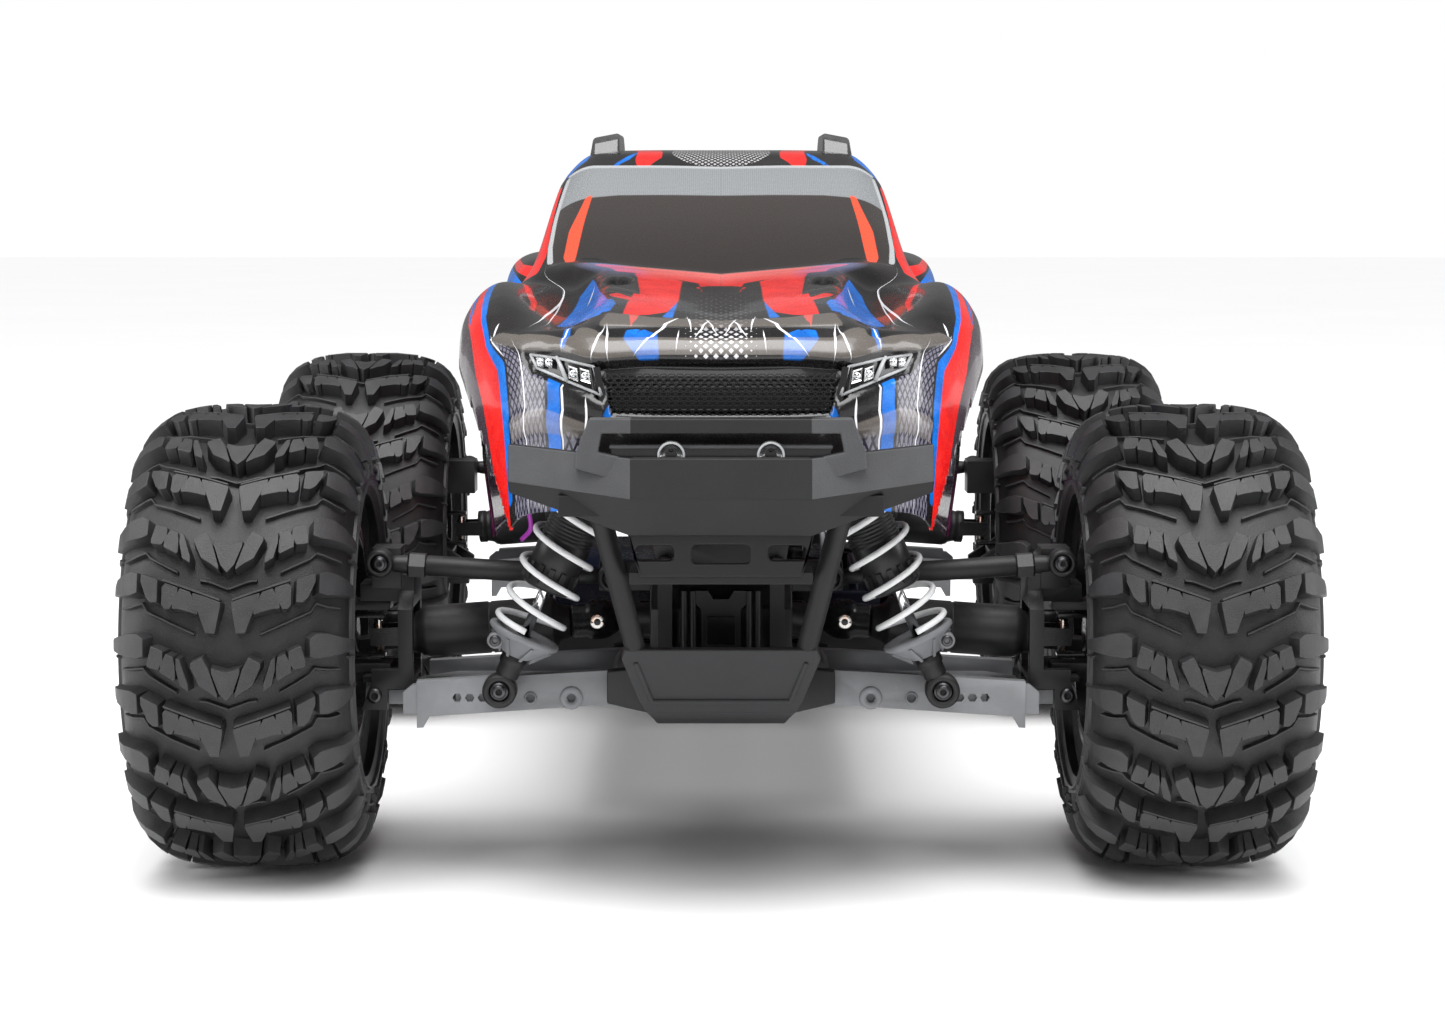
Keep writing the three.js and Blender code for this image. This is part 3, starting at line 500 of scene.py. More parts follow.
def tread_point(u, s, depth):
    """A point of the tyre: u from the crown along the section, s round the tyre, depth inwards."""
    a = abs(u)
    x, r = np.interp(a, SECTION_U, SECTION[:, 0]), np.interp(a, SECTION_U, SECTION[:, 1])
    x2, r2 = np.interp(a + 0.6, SECTION_U, SECTION[:, 0]), np.interp(a + 0.6, SECTION_U, SECTION[:, 1])
    x1, r1 = np.interp(
        max(a - 0.6, 0), SECTION_U, SECTION[:, 0]
    ), np.interp(max(a - 0.6, 0), SECTION_U, SECTION[:, 1])
    along = Vector((x2 - x1, r2 - r1)).normalized()
    x, r = x + along.y * depth, r - along.x * depth
    phi = s / TYRE_R
    return (math.copysign(x, u) if u else 0.0, -r * math.cos(phi), r * math.sin(phi))


def depth_at(u):
    return float(np.interp(abs(u), *zip(*LUG_DEPTH)))


def tread_lug(build, stations, s0, top=0.0, draft=0.55):
    """A block of the tread over stations (u, low, high); top lowers its face, and the sides lean out."""
    verts, faces = [], []
    last = len(stations) - 1
    for i, (u, low, high) in enumerate(stations):
        lean = -draft if i == 0 else draft if i == last else 0.0
        lean = math.copysign(lean, (stations[-1][0] - stations[0][0]) * lean) if lean else 0.0
        depth = depth_at(u) + 0.4
        low_edge = low if high - low > 0.3 else low - 0.15
        verts += [tread_point(u, s0 + low_edge, top), tread_point(u, s0 + high, top)]
        verts += [
            tread_point(u + lean, s0 + high + draft, depth),
            tread_point(u + lean, s0 + low_edge - draft, depth)
        ]
    for i in range(last):
        a, b = 4 * i, 4 * (i + 1)
        for k in range(4):
            n = (k + 1) % 4
            faces.append((a + k, b + k, b + n, a + n))
    faces.append((3, 2, 1, 0))
    faces.append(tuple(4 * last + k for k in range(4)))
    build.add(verts, faces, rubber)


def tread_rib(build, points, s0, width=1.1, height=1.5):
    """A thin raised line on the carcass."""
    stations = []
    for (u1, s1), (u2, s2) in zip(points, points[1:]):
        for t in (0.0, 0.5):
            stations.append((u1 + (u2 - u1) * t, s1 + (s2 - s1) * t))
    stations.append(points[-1])
    sloped = [(u, s - width / 2, s + width / 2) for u, s in stations]
    verts, faces = [], []
    for u, low, high in sloped:
        depth = depth_at(u)
        rise = min(height, depth)
        verts += [tread_point(u, s0 + low + 0.2, depth - rise), tread_point(u, s0 + high - 0.2, depth - rise)]
        verts += [tread_point(u, s0 + high + 0.25, depth + 0.3), tread_point(u, s0 + low - 0.25, depth + 0.3)]
    for i in range(len(sloped) - 1):
        a, b = 4 * i, 4 * (i + 1)
        for k in range(4):
            n = (k + 1) % 4
            faces.append((a + k, b + k, b + n, a + n))
    faces.append((3, 2, 1, 0))
    faces.append(tuple(4 * (len(sloped) - 1) + k for k in range(4)))
    build.add(verts, faces, rubber)


# One pitch of the tread: left half lugs as stations (u, low, high); they are mirrored for the right half.
ROW_A_CENTRE = [(-4.2, 4.3, 5.7), (-2.0, -2.0, 4.9), (0, -4.3, 4.4), (2.0, -2.0, 4.9), (4.2, 4.3, 5.7)]
ROW_A_LUGS = [
    [(-10.3, 5.9, 7.1), (-7.7, 0.2, 8.5), (-6.8, -0.4, 8.9), (-4.9, -1.5, 5.3), (-2.5, -3.4, -2.4)],
    [(-23.5, 5.9, 7.2), (-22.2, 5.4, 12.2), (-20.0, 5.0, 11.3), (-18.5, 7.6, 10.5)],
    [(-19.3, 4.2, 6.4), (-17.6, 3.2, 9.9), (-15.3, 1.8, 8.9), (-14.8, 2.4, 5.6)],
    [(-14.6, 5.6, 8.7), (-13.4, 0.3, 8.1), (-11.0, -1.3, 0.6)],
    [
        (-24.8, 8.8, 14.2), (-27, 8.2, 15.8), (-31, 8.6, 15.9), (-35, 9.0, 15.0), (-39, 9.6, 14.4),
        (-44, 10.0, 13.8)
    ],
]
ROW_B_LUGS = [
    [(-19.2, -0.9, 4.4), (-18.2, -2.3, 5.6), (-16.6, -2.4, 5.0), (-14.3, 2.2, 4.1)],
    [(-15.9, -2.2, -0.6), (-13.7, -2.4, 3.9), (-10.6, -3.3, 2.8), (-8.2, -4.1, -2.2)],
    [(-9.9, 1.4, 2.5), (-7.4, -5.2, 1.7), (-5.8, -9.5, 1.2), (-3.1, -9.7, 0.2), (-1.6, -1.4, -0.4)],
    [(-26.3, 6.6, 9.1), (-24.2, 1.4, 8.3), (-22.6, -0.2, 7.6), (-20.6, -0.2, 6.7)],
    [(-27.5, 3.2, 9.4), (-30, 2.6, 10.3), (-34, 3.2, 10.1), (-38, 3.9, 9.4), (-43, 4.5, 8.6)],
]
RIDGE_B = [(-18.9, 6.5), (-1.8, 0.3)]
RIBS = [
    [(-38, 3.4), (-33, 3.8), (-27.5, 4.6), (-25.3, 2.4), (-15.6, -2.9)],
    [(-38, -13.4), (-33, -13.3), (-28, -12.4), (-26, -15.3), (-9.8, -22.6)],
    [(-8.6, -5.6), (-6, -5.9), (0, -8.3)],
    [(-44, 7.0), (-50, 7.0)],
    [(-44, -6.0), (-50, -6.0)],
]


def tyre_mesh():
    build = Build()
    # The carcass: the same section at the lugs' depth, closed on the inside, in a darker copy of the rubber
    # as painted shade between the lugs.
    us = [0, 5, 10, 15, 20, 24, 27, 30, 33, 36, 39, 42, 45, 48, 51, 54, 56.5]
    rings = 96
    outer = [(u, depth_at(u)) for u in [-u for u in us[:0:-1]] + us]
    verts, faces = [], []
    inner_in = 3.4
    rows = outer + [(u, d + inner_in) for u, d in reversed(outer)]
    count = len(rows)
    for i in range(rings):
        s = 2 * math.pi * TYRE_R * i / rings
        verts += [tread_point(u, s, d) for u, d in rows]
    for i in range(rings):
        for k in range(count):
            a, b = i * count, ((i + 1) % rings) * count
            n = (k + 1) % count
            faces.append((a + k, a + n, b + n, b + k))
    build.add(verts, faces, carcass_rubber_painted_shade, True)
    pitch = 2 * math.pi * TYRE_R / TREAD_PITCHES
    for k in range(TREAD_PITCHES):
        s0 = k * pitch
        tread_lug(build, ROW_A_CENTRE, s0)
        for lugs, shift in ((ROW_A_LUGS, 0), (ROW_B_LUGS, ROW_B)):
            for stations in lugs:
                for flip in (1, -1):
                    tread_lug(
                        build, [(flip * u, low, high) for u, low, high in stations], s0 + shift,
                        0.0 if shift == 0 else 0.25
                    )
        for flip in (1, -1):
            tread_rib(build, [(flip * u, s) for u, s in RIDGE_B], s0 + ROW_B, 1.1, 5.4)
            for points in RIBS:
                tread_rib(build, [(flip * u, s) for u, s in points], s0)
    # Rings of the sidewall near the bead.
    for side in (-1, 1):
        for u, width in ((47.0, 0.8), (52.5, 1.0)):
            ring = []
            for i in range(rings):
                s = 2 * math.pi * TYRE_R * i / rings
                low, high = depth_at(u) + 0.5, max(depth_at(u) - 0.9, 0.1)
                rim = ((-width, low), (-width * 0.5, high), (width * 0.5, high), (width, low))
                ring.append([tread_point(side * (u + du), s, d) for du, d in rim])
            base = [p for quad in ring for p in quad]
            quads = [
                (4 * i + j, 4 * i + j + 1, 4 * ((i + 1) % rings) + j + 1, 4 * ((i + 1) % rings) + j)
                for i in range(rings) for j in range(3)
            ]
            build.add(base, quads, rubber, True)
    made = build.make("tyre_source", 0.28, 1, 40)
    return made


tyre_source = tyre_mesh()
for end, fore, hand, side in CORNERS:
    name = f"{end}_{hand}"
    tyre = tyre_source.copy()
    tyre.name = f"tyre_tread_{name}"
    bpy.context.scene.collection.objects.link(tyre)
    tyre.location = Vector((side * TYRE_X, -fore * AXLE_Y, TYRE_R)) * MM
    turned = math.radians(
        {"front_left": 4.0, "front_right": 4.0, "rear_left": 11.0, "rear_right": 19.0}[name]
    )
    tyre.data = tyre_source.data.copy()
    tyre.data.transform(Matrix.Rotation(turned, 4, "X"))
    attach(tyre, f"wheel_{name}")
    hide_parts(f"tyre_{name}")
bpy.data.objects.remove(tyre_source)

# ---- Body shell ----
# The body's outside, right half: rows from the nose's lower edge over the roof to the tail,
# each from the middle down the side.
SHELL_NET = [
    [
        (0, -241, 121), (18, -240.5, 121), (36, -239, 121), (50, -232, 120), (58, -224, 118),
        (63, -216, 112), (66, -210, 106), (67, -206, 101), (67, -203, 97)
    ],
    [
        (0, -243, 148), (18, -242.5, 148), (34, -241, 148.5), (50, -232, 150), (59, -224, 148),
        (66, -214, 138), (69, -207, 124), (70, -203, 110), (70, -199, 97)
    ],
    [
        (0, -240, 164.5), (18, -239.5, 164.5), (35.5, -238, 163.5), (50, -229, 165), (61, -219, 163),
        (69, -208, 152), (72, -202, 136), (72.5, -198, 116), (71.5, -195, 97)
    ],
    [
        (0, -232, 172), (18, -231, 172.5), (34, -229, 172.5), (50, -221, 172), (64, -209, 170.5),
        (72, -200, 163), (75, -195, 145), (74.5, -192, 121), (72.5, -190, 97)
    ],
    [
        (0, -214, 175), (18, -213, 176), (33, -211, 177), (47, -206, 172.5), (64, -198, 176.5),
        (75, -190, 171), (78, -186, 152), (76, -184, 124), (73.5, -182, 97)
    ],
    [
        (0, -188, 177.5), (18, -188, 179), (33, -186, 180), (47, -184, 174), (66, -180, 181),
        (77, -176, 174), (80.5, -174, 158), (77, -172, 126), (74.5, -172, 97)
    ],
    [
        (0, -150, 181), (19, -150, 183), (34, -150, 183.5), (48, -150, 176), (68, -150, 184),
        (78, -150, 177), (81.5, -150, 166), (78.5, -150, 130), (75.5, -150, 97)
    ],
    [
        (0, -118, 184), (20, -118, 186), (36, -118, 187), (50, -118, 180), (68, -120, 183), (77, -120, 175),
        (80.5, -120, 162), (80, -120, 130), (76.5, -120, 97)
    ],
    [
        (0, -108, 185.5), (24, -106, 187.5), (44, -102, 189), (59, -98, 186), (67, -98, 181.5),
        (75, -98, 172), (80, -98, 157), (79.5, -98, 128), (76.5, -98, 97)
    ],
    [
        (0, -72, 203), (24, -71, 203.5), (45, -68, 203.5), (58.5, -64, 199), (64.5, -66, 185),
        (70.5, -66, 171), (76.5, -66, 153), (78.5, -66, 126), (76, -66, 97)
    ],
    [
        (0, -32, 221), (24, -31, 221.5), (44, -29, 221.5), (55.5, -25, 216), (63, -34, 187),
        (69.5, -34, 170), (75, -34, 150), (77, -34, 125), (75.5, -34, 96)
    ],
    [
        (0, -14, 226), (22, -13, 226.5), (43, -12, 226), (54.5, -8, 218.5), (62.5, -6, 188),
        (69.5, -6, 170), (75, -6, 150), (77, -6, 125), (75.5, -6, 96)
    ],
    [
        (0, 25, 227.5), (22, 25, 227.5), (43, 25, 227), (54.5, 26, 218.5), (62.5, 26, 188), (69.5, 26, 170),
        (75, 26, 150), (77, 26, 125), (75.5, 26, 96)
    ],
    [
        (0, 58, 225), (22, 58, 225), (42, 58, 224), (53, 58, 216), (62.5, 56, 188), (69.5, 56, 171),
        (75, 56, 152), (77.5, 56, 126), (76, 56, 97)
    ],
    [
        (0, 74, 183), (22, 74, 183), (40, 74, 183), (53, 74, 183.5), (66, 76, 186.5), (75, 78, 176),
        (80, 78, 160), (80, 78, 130), (77, 78, 97)
    ],
    [
        (0, 100, 176), (22, 100, 176), (40, 100, 176), (55, 100, 177), (71, 98, 187), (81, 98, 180),
        (85, 98, 167), (82, 98, 132), (78, 98, 97)
    ],
    [
        (0, 150, 174), (22, 150, 174), (42, 150, 174), (59, 150, 175), (75, 150, 187.5), (84.5, 150, 183),
        (88, 150, 170), (84, 150, 132), (79, 150, 97)
    ],
    [
        (0, 200, 174), (22, 200, 174), (42, 200, 174), (59, 200, 175), (74, 200, 187.5), (82, 200, 181),
        (85, 200, 165), (81, 200, 131), (77, 200, 97)
    ],
    [
        (0, 232, 178), (22, 232, 178), (42, 232, 178), (58, 231, 179), (71, 229, 185), (77, 227, 177),
        (79, 226, 160), (77, 225, 130), (74, 222, 100)
    ],
    [
        (0, 241, 165), (22, 241, 165), (42, 240, 165), (56, 239, 165), (67, 236, 164), (73, 233, 158),
        (74, 231, 146), (72, 229, 126), (70, 226, 102)
    ],
    [
        (0, 239, 122), (22, 239, 122), (42, 238, 122), (54, 237, 121), (62, 234, 119), (66, 231, 114),
        (67, 229, 109), (67, 227, 106), (67, 225, 104)
    ],
]
NET = np.array(SHELL_NET, float)
ARCH_R, ARCH_Z = 62.0, 100.0
# How finely each span of the net is divided, along the body and down its side.
ALONG_STEPS = [18, 14, 10, 14, 16, 20, 20, 12, 22, 24, 10, 12, 10, 14, 10, 16, 16, 12, 10, 14]
DOWN_STEPS = [16, 16, 14, 12, 14, 12, 12, 10]


def eased(values, at):
    """Values at fractional indices, on a cubic that never overshoots."""
    step = np.diff(values, axis=0)
    a, b = step[:-1], step[1:]
    product = a * b
    slope = np.zeros_like(values)
    slope[1:-1] = np.where(product > 0, 2 * product / np.where(np.abs(a + b) > 1e-9, a + b, 1), 0)
    slope[0], slope[-1] = step[0], step[-1]
    at = np.clip(np.asarray(at, float), 0, len(values) - 1)
    i = np.minimum(at.astype(int), len(values) - 2)
    f = (at - i).reshape((-1,) + (1,) * (values.ndim - 1))
    blend_0, blend_1 = 2 * f**3 - 3 * f**2 + 1, f**3 - 2 * f**2 + f
    near = blend_0 * values[i] + blend_1 * slope[i]
    return near + (1 - blend_0) * values[i + 1] + (f**3 - f**2) * slope[i + 1]


def steps_of(counts):
    marks = [i + k / count for i, count in enumerate(counts) for k in range(count)]
    return np.array(marks + [len(counts)])


def shell_grid(along, down):
    rows = eased(NET, along)
    return eased(rows.transpose(1, 0, 2), down).transpose(1, 0, 2)


def shell_point(down, along, lift=0.0, side=1):
    """A point of the body's outside at net coordinates, lifted off it along its normal."""
    e = 0.04
    points = [
        shell_grid(
            [max(along - e, 0), along, min(along + e, 20)], [max(down - e, 0), down, min(down + e, 8)]
        )
    ][0]
    across_v, along_v = points[1][2] - points[1][0], points[2][1] - points[0][1]
    normal = np.cross(across_v, along_v)
    normal /= np.linalg.norm(normal)
    p = points[1][1] + normal * lift
    return (side * p[0], p[1], p[2])


# Painted and moulded areas in net coordinates (down the side, along the body); each is on both sides.
AREAS = {
    "mauve": [
        [
            (5.2, -1), (5.1, 1), (5.15, 2), (5.3, 3), (5.1, 4), (4.95, 5), (4.85, 6), (4.7, 7), (4.6, 7.8),
            (5.6, 8.2), (6.1, 7), (6.2, 5), (6.3, 3), (6.4, 1), (6.4, -1)
        ],
    ],
    "blue": [
        [
            (4.7, 0.2), (4.62, 1.2), (4.5, 2.1), (4.72, 3), (4.72, 4), (4.5, 5.2), (4.22, 6.6), (4.05, 8),
            (3.98, 8), (4.0, 6.6), (4.3, 5.2), (4.5, 4), (4.5, 3), (4.26, 2.1), (4.35, 1.2), (4.5, 0.2)
        ],
        [
            (5.2, 2.4), (5.12, 4), (4.98, 5.2), (4.75, 6.2), (4.42, 7.3), (4.3, 7.9), (4.15, 7.7),
            (4.35, 6.9), (4.6, 6), (4.8, 5), (4.95, 4), (5.1, 2.6)
        ],
        [(3.1, 3.9), (2.96, 5.3), (2.76, 6.5), (2.42, 6.9), (2.3, 5.8), (1.98, 4.5), (2.2, 3.9)],
        [(2.16, 5.0), (1.98, 4.95), (1.9, 4.7), (1.98, 4.1), (2.08, 4.0), (2.1, 4.6)],
        [
            (1.6, 2.62), (1.58, 3.0), (1.34, 3.06), (1.42, 2.7), (1.28, 3.06), (1.02, 2.8), (0.98, 2.0),
            (1.3, 2.0)
        ],
        [(0.96, 3.9), (0.86, 4.35), (0.74, 5.3), (0.7, 5.3), (0.78, 3.85)],
        [(3.04, 1.6), (2.98, 0.6), (2.85, -1), (2.6, -1), (2.68, 0.4), (2.76, 1.55)],
        [(2.72, 2.25), (2.7, 3.35), (2.62, 3.35), (2.58, 2.7), (2.62, 2.2)],
        [(2.0, 0.98), (1.84, 1.25), (1.83, 0.98)],
        [
            (4.0, 9.9), (3.6, 10.0), (2.85, 9.98), (2.3, 10.4), (2.2, 11.2), (2.4, 12.6), (3.4, 12.2),
            (4.1, 10.9)
        ],
        [(3.62, 9.42), (3.42, 9.72), (3.3, 9.62), (3.4, 9.3)],
        [(1.66, 9.98), (1.52, 10.3), (1.3, 11), (1.28, 11), (1.4, 10.3), (1.58, 9.98)],
        [(7.9, 8.4), (6.5, 8.3), (6.2, 9.8), (6.6, 11.6), (7.2, 10.2), (8.2, 10.0)],
        [(5.6, 11.5), (5.2, 13), (5.0, 15), (5.25, 17), (5.5, 18.4), (5.8, 17), (5.5, 15), (5.7, 13)],
        [(0.7, 14.4), (2.2, 15.1), (2.8, 16.6), (2.4, 17.8), (1.9, 16.4), (0.9, 15.5)],
        [(1.8, 18.5), (2.6, 19), (3.6, 20.5), (2.6, 20.5), (2.0, 19.5)],
    ],
    "red": [
        [
            (5.5, -1), (5.5, 0.6), (5.42, 1.4), (5.34, 2.1), (5.36, 3), (5.12, 4), (4.78, 5), (4.55, 6),
            (4.32, 6.9), (4.16, 7.5), (4.0, 7.5), (4.2, 6.6), (4.46, 5.4), (4.64, 4), (4.66, 3), (4.5, 2.1),
            (4.6, 1.2), (4.7, 0.4), (4.8, -1)
        ],
        [
            (5.3, 2.4), (5.22, 3.5), (5.08, 4.7), (4.86, 6), (4.55, 7.1), (4.36, 7.9), (4.3, 7.9),
            (4.45, 7.1), (4.76, 6), (5.0, 4.7), (5.14, 3.5), (5.2, 2.4)
        ],
        [
            (1.72, 3.8), (1.66, 4.8), (1.5, 5.7), (1.56, 6.6), (1.3, 7.0), (0.9, 6.6), (0.62, 6.4),
            (0.7, 5.2), (0.88, 4.3), (1.2, 4.0)
        ],
        [(2.1, 5.32), (2.0, 5.16), (1.5, 4.9), (1.5, 5.08), (1.9, 5.4)],
        [(1.5, 3.1), (1.6, 3.9), (1.36, 3.9), (1.42, 3.4)],
        [(0.4, 6.1), (0.3, 5.8), (0.36, 6.4), (1.9, 6.9), (1.9, 7.9), (0, 7.9), (0, 6.4), (0.2, 6.3)],
        [
            (3.5, 4.6), (3.46, 5.4), (3.58, 6.4), (3.72, 7.2), (3.8, 7.2), (3.66, 6.2), (3.56, 5.2),
            (3.58, 4.6)
        ],
        [
            (4.6, 7.9), (3.2, 8.0), (2.98, 8.4), (2.96, 9.3), (2.95, 9.75), (3.3, 9.85), (3.5, 9.35),
            (3.8, 9.1), (4.4, 8.9)
        ],
        [(3.9, 9.75), (3.5, 10.0), (3.1, 10.6), (3.4, 10.45), (3.9, 10.1)],
        [
            (1.05, 9.98), (0.9, 10.4), (1.0, 11.5), (1.6, 12.6), (1.8, 12.6), (1.35, 11.2), (1.3, 10.3),
            (1.25, 9.98)
        ],
        [
            (3.5, 11.4), (4.3, 13), (4.6, 15), (4.7, 17.2), (4.2, 18.6), (4.5, 18.8), (5.0, 17.2),
            (4.9, 15), (4.7, 13), (4.0, 11)
        ],
        [(6.8, 10.8), (6.2, 12.6), (6.3, 15), (7.2, 12.9), (8.1, 12.4), (8.1, 11.2)],
        [(0.3, 14.2), (1.2, 15.6), (1.4, 17), (0.9, 18.2), (0.4, 17), (0.2, 15.4)],
        [(0.5, 18.6), (1.4, 18.9), (2.2, 20.5), (1.2, 20.5), (0.7, 19.4)],
        [(6.9, 16.9), (6.2, 17.8), (6.2, 19.4), (8, 19), (8.2, 17.6)],
    ],
    "magenta": [
        [(8.3, 7.9), (7.35, 8.2), (7.1, 9.2), (7.5, 10.6), (8.3, 11.0)],
    ],
    "pattern": [
        [
            (4.42, -0.5), (4.28, 1.2), (4.2, 2.1), (4.42, 3.02), (3.9, 2.3), (3.52, 1.62), (3.1, 1.5),
            (3.02, -0.5)
        ],
        [(2.62, -0.5), (2.66, 0.75), (2.2, 0.75), (2.1, -0.5)],
    ],
    "brow": [
        [
            (4.46, 3.02), (4.3, 2.72), (3.6, 2.2), (3.0, 2.14), (2.66, 2.2), (2.2, 2.1), (1.1, 2.1),
            (-1, 2.12), (-1, 2.62), (1.1, 2.64), (1.9, 2.68), (2.18, 2.98), (2.34, 3.06), (2.46, 3.0),
            (2.5, 2.7), (2.66, 2.55), (3.0, 2.62), (3.6, 2.76), (4.0, 3.0)
        ],
        [(-1, 3.2), (1.1, 3.16), (2.08, 3.12), (2.1, 3.3), (2.02, 3.84), (1.1, 3.72), (-1, 3.66)],
        [(4.36, 0.98), (4.3, 0.7), (3.3, 0.72), (2.3, 0.7), (2.16, 0.86), (3.1, 1.0)],
    ],
    "window": [
        [
            (-1, 8.04), (1.2, 8.08), (2.3, 8.12), (2.86, 8.14), (2.96, 8.6), (2.9, 9.3), (2.8, 9.96),
            (-1, 10.0)
        ],
        [
            (3.3, 10.0), (3.8, 9.1), (4.2, 8.9), (4.5, 9.2), (4.3, 10.6), (4.15, 12.1), (3.35, 12.1),
            (3.25, 10.8)
        ],
        [(-1, 13.2), (2.4, 13.2), (2.5, 13.78), (-1, 13.8)],
    ],
    "visor": [[(-1, 9.42), (1.5, 9.4), (2.9, 9.3), (2.78, 9.94), (-1, 9.96)]],
    "pale": [
        [
            (2.9, 8.2), (2.96, 8.6), (2.92, 9.2), (2.84, 9.9), (2.74, 9.9), (2.8, 9.2), (2.82, 8.6),
            (2.74, 8.2)
        ],
        [(-1, 9.96), (2.84, 9.93), (2.82, 10.0), (-1, 10.02)],
    ],
    "stripe": [[(2.44, 8.14), (2.5, 8.3), (2.42, 8.8), (2.12, 9.38), (1.98, 9.4), (2.06, 9.1), (2.26, 8.14)]],
    "black": [
        [(-1, 1.0), (1.86, 1.0), (2.06, 1.98), (1.0, 1.96), (-1, 1.93)],
        [(3.58, 2.16), (3.36, 1.58), (1.95, 1.22), (2.02, 2.02), (2.7, 2.02)],
        [(1.78, 8.02), (1.5, 8.12), (1.8, 8.24), (2.12, 8.24), (2.2, 8.12), (2.0, 8.0)],
    ],
    "vent": [[(2.36, 6.86), (2.14, 5.66), (1.42, 5.3), (1.46, 6.4), (1.52, 6.74)]],
}


def area_distance(name, w, t):
    """Signed distance to an area's edge in net units, negative inside."""
    best = np.full(w.shape, 9.0)
    for outline in AREAS[name]:
        points = np.array(outline, float)
        inside = np.zeros(w.shape, bool)
        nearest = np.full(w.shape, 81.0)
        for (x1, y1), (x2, y2) in zip(points, np.roll(points, -1, axis=0)):
            dx, dy = x2 - x1, y2 - y1
            f = np.clip(((w - x1) * dx + (t - y1) * dy) / (dx * dx + dy * dy), 0, 1)
            nearest = np.minimum(nearest, (w - x1 - f * dx) ** 2 + (t - y1 - f * dy) ** 2)
            if abs(dy) > 1e-9:
                inside ^= ((y1 > t) != (y2 > t)) & (w < dx * (t - y1) / dy + x1)
        best = np.minimum(best, np.where(inside, -1, 1) * np.sqrt(nearest))
    return best


